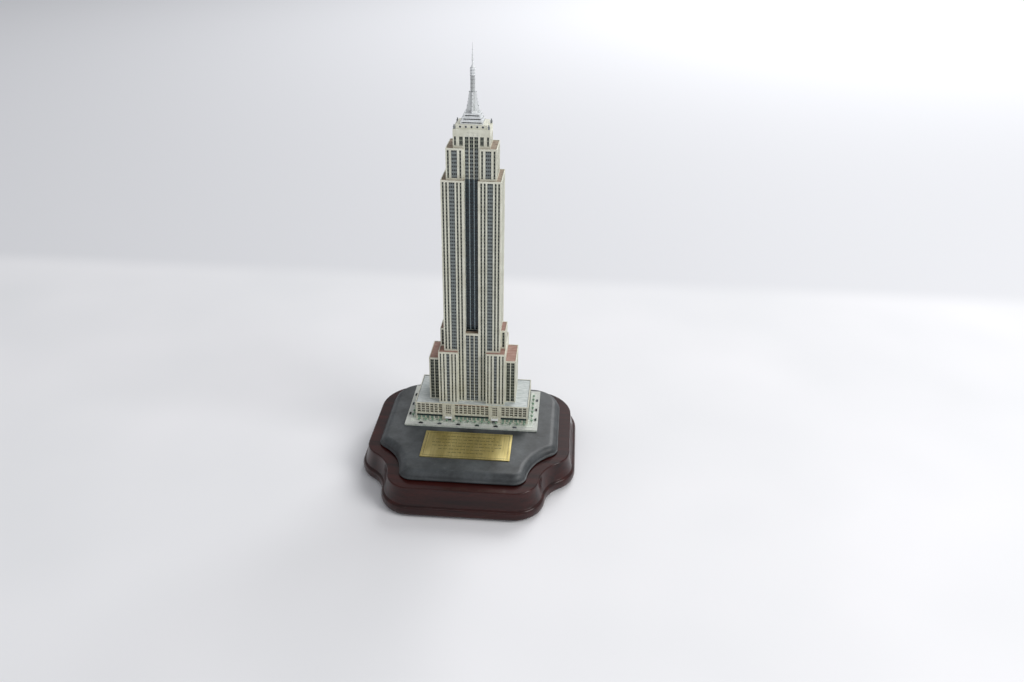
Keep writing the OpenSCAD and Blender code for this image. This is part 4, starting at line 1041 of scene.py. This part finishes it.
class TOWER_OT_plate(bpy.types.Operator):
    """The etched border and the rows of generic marks on the name plate"""
    bl_idname = "tower.plate"
    bl_label = "Name plate marks"

    def execute(self, context):
        low, high = corners("name_plate")
        border = skin("name_plate", lambda c, way: way.z > 0.9 and c.z < high.z - 0.1 and c.z > high.z - 0.3, 0.05)
        inner = []
        step = 2.3
        line_w = 0.3
        for x0, y0, x1, y1 in ((low.x + step, low.y + step, high.x - step, low.y + step + line_w),
                               (low.x + step, high.y - step - line_w, high.x - step, high.y - step),
                               (low.x + step, low.y + step, low.x + step + line_w, high.y - step),
                               (high.x - step - line_w, low.y + step, high.x - step, high.y - step)):
            inner.append(rounded(block((x0, y0, high.z - 0.02), (x1, y1, high.z + 0.02)), 0.01, 1))
        draw = random.Random(11)
        marks = []
        mark = rounded(block((-0.5, -0.42, high.z - 0.02), (0.5, 0.42, high.z + 0.02)), 0.01, 1)
        shares = (0.6, 0.72, 0.8, 0.78, 0.62, 0.4)
        top, pitch = high.y - 7.4, 4.9
        for line in range(sizes().engraved_lines):
            half = (high.x - low.x) * shares[line % len(shares)] / 2
            x = -half
            while x < half:
                word = draw.uniform(1.6, 5.0)
                end = min(x + word, half)
                while x < end - 0.3:
                    stroke = draw.uniform(0.35, 0.75)
                    scale = Matrix.Diagonal((stroke, draw.choice((0.8, 0.8, 1.0, 1.2)), 1, 1))
                    place = Matrix.Translation(((x + stroke / 2) * MM, (top - line * pitch) * MM, 0))
                    marks.append(copy_of(mark, place @ scale))
                    x += stroke + 0.22
                x = end + 1.1
        bpy.data.objects.remove(mark)
        made = painted(joined([border] + inner + marks), finish_of("black_etch_enamel"))
        piece(made, "plate_marks")
        return {"FINISHED"}


class TOWER_OT_crown(bpy.types.Operator):
    """The crown's arches, portholes and corner ornaments, the deck's railings, and painted shade in the portholes and
    in the deck's openings
    """
    bl_idname = "tower.crown"
    bl_label = "Crown and deck"

    def execute(self, context):
        crown_low, crown_high = corners("crown")
        arches = []
        for x in (-3.85, 0.0, 3.85):
            panel = block((x - 1.6, crown_low.y + 0.25, 297.5), (x + 1.6, crown_low.y + 0.9, 301.15))
            painted(rounded(panel, 0.05, 1), finish_of("sprayed_ivory_resin"))
            only(None)
            bpy.ops.mesh.primitive_cylinder_add(vertices=32, radius=1.45 * MM, depth=0.5 * MM,
                                                location=(x * MM, (crown_low.y + 0.4) * MM, 299.4 * MM),
                                                rotation=(math.radians(90), 0, 0))
            head = settle(bpy.context.object)
            sliced(head, (0, 0, 299.4), (0, 0, -1), True)
            pick(head, lambda c, way: way.z < -0.9)
            bpy.ops.mesh.extrude_region_move(TRANSFORM_OT_translate={"value": (0, 0, -1.85 * MM)})
            leave(head)
            pick(head, lambda c, way: way.y < -0.9)
            bpy.ops.mesh.inset(thickness=0.35 * MM)
            bpy.ops.transform.translate(value=(0, 0.3 * MM, 0))
            leave(head)
            painted(head, finish_of("satin_white_enamel"))
            arches += [panel, head]
        piece(four_ways(joined(arches), x=False), "crown_arches")

        frieze = 19.65
        crown_top, step_h = crown_high.z, 2.55
        # Near-black paint on the floors of the portholes and near-black discs set in them: painted shade in the
        # openings. The rims are white paint.
        hole_shade = skin("crown", lambda c, way: abs(c.z - 305.2) < 0.8 and (
            way.y < -0.9 and abs(c.y - frieze - 0.6) < 0.05 or way.y > 0.9 and abs(c.y - 2 * TOWER_Y + frieze + 0.6) < 0.05
            or way.x > 0.9 and abs(c.x - 12.0) < 0.05 or way.x < -0.9 and abs(c.x + 12.0) < 0.05), 0.1)
        painted(hole_shade, finish_of("hollow_shade_and_car_glass_paint"))
        rims = []
        places = [((x, y, 305.2), (0, way, 0)) for x in (-9.16, -4.58, 0.0, 4.58, 9.16)
                  for y, way in ((frieze, -1), (2 * TOWER_Y - frieze, 1))]
        places += [((x, y, 305.2), (way, 0, 0)) for y in (25.42, 30.0, 34.58)
                   for x, way in ((-12.6, -1), (12.6, 1))]
        panes = []
        for place, way in places:
            rims.append(ring(place, 0.92, 0.1, way))
            # A near-black disc in each porthole: painted shade, not glass.
            panes.append(rod(Vector(place) - 0.3 * Vector(way), Vector(place) + 0.06 * Vector(way), 0.86, 20))
        hole_shade = painted(joined([hole_shade] + panes), finish_of("hollow_shade_and_car_glass_paint"))
        painted(joined(rims), finish_of("satin_white_enamel"))
        piece(joined([hole_shade, bpy.context.object]), "portholes")

        ornament = None
        ornaments = []
        for low, high in solids("crown_finials"):
            if ornament is None:
                base = rounded(block((-0.75, -0.6, 0), (0.75, 0.6, 1.3)), 0.1)
                shoulder = rounded(block((-1.0, -0.3, 1.2), (1.0, 0.3, 2.2)), 0.28, 3)
                neck = rounded(block((-0.5, -0.45, 1.2), (0.5, 0.45, 2.9)), 0.12)
                tip = ball((0, 0, 3.25), 0.5, 10, 8)
                ornament = painted(joined([base, shoulder, neck, tip]), finish_of("satin_grey_enamel"))
            middle = (low + high) / 2
            ornaments.append(copy_of(ornament, Matrix.Translation(Vector((middle.x, middle.y, low.z)) * MM)))
        bpy.data.objects.remove(ornament)
        piece(joined(ornaments), "corner_ornaments", ["crown_finials"])

        deck_low, deck_high = corners("observation_deck")
        half_x, half_y = (deck_high.x - deck_low.x) / 2, (deck_high.y - deck_low.y) / 2
        step_in, slit_deep = 1.2, 0.5
        halves = [(half_x - i * step_in, half_y - i * step_in) for i in range(3)]
        # Near-black paint on the floors of the deck's openings, and a near-black band along each step's row of them:
        # painted shade in the openings.
        slit_shade = skin("observation_deck", lambda c, way: any(
            abs(abs(c.y - TOWER_Y) - hy + slit_deep) < 0.06 and abs(way.y) > 0.9
            or abs(abs(c.x - TOWER_X) - hx + slit_deep) < 0.06 and abs(way.x) > 0.9 for hx, hy in halves), 0.1)
        rows = []
        for i, (hx, hy) in enumerate(halves):
            middle = crown_top + i * step_h + 1.25
            for x, y in ((hx - 0.9, hy + 0.02), (hx + 0.02, hy - 0.9)):
                rows.append(block((TOWER_X - x, TOWER_Y - y, middle - 0.3), (TOWER_X + x, TOWER_Y + y, middle + 0.3)))
        slit_shade = joined([slit_shade] + rows)
        painted(slit_shade, finish_of("hollow_shade_and_car_glass_paint"))
        piece(slit_shade, "deck_opening_shade")

        rails = []
        for i, (hx, hy) in enumerate(halves):
            hx, hy, z = hx - 0.2, hy - 0.2, crown_top + (i + 1) * step_h
            for side in (-1, 1):
                for rise, radius in ((0.75, 0.07), (0.4, 0.05)):
                    rails.append(rod((-hx, TOWER_Y + side * hy, z + rise), (hx, TOWER_Y + side * hy, z + rise), radius, 6))
                    rails.append(rod((side * hx, TOWER_Y - hy, z + rise), (side * hx, TOWER_Y + hy, z + rise), radius, 6))
                post = rod((-hx, TOWER_Y + side * hy, z - 0.05), (-hx, TOWER_Y + side * hy, z + 0.8), 0.08, 6)
                rails.append(repeated(post, 9, (hx / 4, 0, 0)))
                post = rod((side * hx, TOWER_Y - hy, z - 0.05), (side * hx, TOWER_Y - hy, z + 0.8), 0.08, 6)
                rails.append(repeated(post, 7, (0, hy / 3, 0)))
        piece(painted(joined(rails), finish_of("satin_white_enamel")), "deck_railings")
        return {"FINISHED"}


class TOWER_OT_mast(bpy.types.Operator):
    """The stepped mast with its ribs and studs, the beacon with its bands, and the antenna"""
    bl_idname = "tower.mast"
    bl_label = "Mast, beacon and antenna"

    def execute(self, context):
        low, high = corners("mast")
        core = 1.8
        shell = smooth(merged_copy("mast"), 30)
        shell.data.materials.clear()
        for finish in ("cast_zinc_silver", "cast_zinc_shadow", "satin_white_enamel"):
            shell.data.materials.append(finish_of(finish))
        steps = set()
        for polygon in shell.data.polygons:
            middle = polygon.center / MM
            away = math.hypot(middle.x - TOWER_X, middle.y - TOWER_Y)
            polygon.material_index = 1 if away < core + 0.02 and middle.z > 315.9 else 2 if middle.z < 315.9 else 0
            if polygon.normal.z > 0.9 and middle.z > 316 and middle.x > TOWER_X + core + 0.1:
                if abs(middle.y - TOWER_Y) < 0.4:
                    reach = max(shell.data.vertices[v].co.x / MM for v in polygon.vertices)
                    steps.add((round(reach - TOWER_X, 2), round(middle.z, 2)))
        studs = []
        for reach, z in sorted(steps):
            if reach > 5.4:
                continue
            stud = ball((reach - 0.35, 0, z + 0.2), 0.34, 8, 6)
            foot = rod((reach - 0.35, 0, z - 0.05), (reach - 0.35, 0, z + 0.2), 0.22, 8)
            stud = joined([stud, foot])
            for turn in range(4):
                studs.append(copy_of(stud, placed(90 * turn, (TOWER_X, TOWER_Y, 0))))
            bpy.data.objects.remove(stud)
        painted(joined(studs), finish_of("satin_grey_enamel"))
        studs = bpy.context.object
        rib = rounded(block((-0.16, -core - 0.14, 315.85), (0.16, -core + 0.15, 343.3)), 0.06)
        ribs = []
        for index in range(12):
            turn = 30 * index + 15
            ribs.append(copy_of(rib, placed(turn, (TOWER_X, TOWER_Y, 0))))
        bpy.data.objects.remove(rib)
        painted(joined(ribs), finish_of("cast_zinc_silver"))
        ribs = bpy.context.object
        hoops = [ring((TOWER_X, TOWER_Y, z), core + 0.1, 0.13) for z in (331.2, 334.3, 337.4, 340.5, 343.2)]
        painted(joined(hoops), finish_of("satin_grey_enamel"))
        hoops = bpy.context.object
        piece(joined([shell, studs, ribs, hoops]), "mast_casting", ["mast"])

        low, high = corners("beacon")
        globe = painted(smooth(merged_copy("beacon"), 30), finish_of("satin_white_enamel"))
        bands = [ring((TOWER_X, TOWER_Y, z), reach, 0.12) for z, reach in
                 ((343.75, 2.1), (345.6, 1.78), (348.05, 1.78), (349.2, 1.8))]
        bars = rounded(block((-0.12, -1.88, 344.4), (0.12, -1.7, 349.2)), 0.04)
        cage = [copy_of(bars, placed(45 * index + 22.5, (TOWER_X, TOWER_Y, 0))) for index in range(8)]
        bpy.data.objects.remove(bars)
        painted(joined(bands + cage), finish_of("satin_grey_enamel"))
        piece(joined([globe, bpy.context.object]), "beacon_lantern", ["beacon"])

        spike = painted(smooth(merged_copy("antenna"), 30), finish_of("cast_zinc_silver"))
        collars = [ring((TOWER_X, TOWER_Y, z), reach, 0.1) for z, reach in ((354.5, 0.55), (359.0, 0.45), (363.0, 0.35))]
        painted(joined(collars), finish_of("satin_grey_enamel"))
        piece(joined([spike, bpy.context.object]), "antenna_spike", ["antenna"])
        return {"FINISHED"}


class TOWER_OT_stage(bpy.types.Operator):
    """The pale floor with a band of painted shade far behind, the soft studio lights and the camera"""
    bl_idname = "tower.stage"
    bl_label = "Stage"

    def execute(self, context):
        only(None)
        bpy.ops.mesh.primitive_circle_add(vertices=96, radius=7.0, fill_type="NGON", location=(0, 0, 0))
        floor = settle(bpy.context.object)
        floor.name = "studio_floor"
        material, tree, shader, coords = new_material("matt_studio_paper", roughness=0.9)
        cloth = noise(tree, coords, 260.0, 2.0)
        paper = ramp(tree, cloth, [(0.3, srgb("#e8e9ec")), (0.7, srgb("#f0f0f3"))])
        # From 0.38 to 0.44 m behind the tower the paper turns darker: painted shade standing for the fold of a
        # backdrop.
        far = add(tree, "ShaderNodeSeparateXYZ", {"Vector": coords}).outputs["Y"]
        fold_shade = add(tree, "ShaderNodeMapRange", {"Value": far, "From Min": 0.38, "From Max": 0.44},
                    interpolation_type="SMOOTHSTEP")
        tree.links.new(mix(tree, fold_shade.outputs["Result"], paper, srgb("#e0e1e5")),
                       shader.inputs["Base Color"])
        painted(floor, material)

        world = bpy.data.worlds.new("studio_white")
        context.scene.world = world
        world.use_nodes = True
        backdrop = world.node_tree.nodes["Background"]
        backdrop.inputs["Color"].default_value = srgb("#f3f4f7")
        backdrop.inputs["Strength"].default_value = 0.42

        for name, place, target, size, power, colour in (
                ("key_softbox", (1.4, -0.55, 1.2), (0, 0, 0.12), (0.9, 0.9), 15.5, (1.0, 0.99, 0.97)),
                ("strip_softbox", (-0.1, -1.5, 1.0), (0, 0, 0.05), (1.6, 0.05), 2.4, (0.98, 0.99, 1.0)),
                ("backdrop_softbox", (1.3, 3.2, 2.6), (0.8, 2.0, 0), (2.4, 2.4), 108.0, (1.0, 1.0, 1.0))):
            lamp = bpy.data.lights.new(name, "AREA")
            lamp.shape, lamp.size, lamp.size_y = "RECTANGLE", *size
            lamp.energy, lamp.color = power, colour
            holder = bpy.data.objects.new(name, lamp)
            context.scene.collection.objects.link(holder)
            holder.location = place
            aim = Vector(target) - Vector(place)
            holder.rotation_euler = aim.to_track_quat("-Z", "Y").to_euler()

        pitch, yaw, roll = (math.radians(a) for a in (28.0, -3.79, 0.95))
        ahead = Vector((math.sin(yaw) * math.cos(pitch), math.cos(yaw) * math.cos(pitch), -math.sin(pitch)))
        level = Vector((math.cos(yaw), -math.sin(yaw), 0))
        above = level.cross(ahead)
        right = math.cos(roll) * level + math.sin(roll) * above
        up = math.cos(roll) * above - math.sin(roll) * level
        camera = bpy.data.objects.new("camera", bpy.data.cameras.new("camera"))
        context.scene.collection.objects.link(camera)
        camera.data.sensor_width = 36.0
        camera.data.lens = 31.22
        camera.data.clip_start, camera.data.clip_end = 0.05, 30.0
        turned = Matrix((right, up, -ahead)).transposed().to_4x4()
        camera.matrix_world = Matrix.Translation((0.0813, -0.6788, 0.4868)) @ turned
        context.scene.camera = camera
        context.scene.view_settings.view_transform = "Standard"
        return {"FINISHED"}


PIECES = (TOWER_OT_castings, TOWER_OT_plinth, TOWER_OT_lights, TOWER_OT_recess, TOWER_OT_roofs,
          TOWER_OT_podium, TOWER_OT_street, TOWER_OT_plate, TOWER_OT_crown, TOWER_OT_mast, TOWER_OT_stage)


class TOWER_PT_panel(bpy.types.Panel):
    """Lists the settings and the pieces"""
    bl_label = "Lit souvenir tower"
    bl_idname = "TOWER_PT_panel"
    bl_space_type = "VIEW_3D"
    bl_region_type = "UI"
    bl_category = "Tower"

    def draw(self, context):
        column = self.layout.column()
        for settings in (context.scene.tower_sizes, context.scene.tower_colours):
            for name in settings.__annotations__:
                column.prop(settings, name)
        for operator in PIECES:
            column.operator(operator.bl_idname)


CLASSES = (TowerSizes, TowerColours, *PIECES, TOWER_PT_panel)


def register():
    for cls in CLASSES:
        bpy.utils.register_class(cls)
    bpy.types.Scene.tower_sizes = PointerProperty(type=TowerSizes)
    bpy.types.Scene.tower_colours = PointerProperty(type=TowerColours)


def unregister():
    del bpy.types.Scene.tower_colours
    del bpy.types.Scene.tower_sizes
    for cls in reversed(CLASSES):
        bpy.utils.unregister_class(cls)


def main():
    register()
    for operator in PIECES:
        family, name = operator.bl_idname.split(".")
        getattr(getattr(bpy.ops, family), name)()
    only(None)


if __name__ == "__main__":
    main()
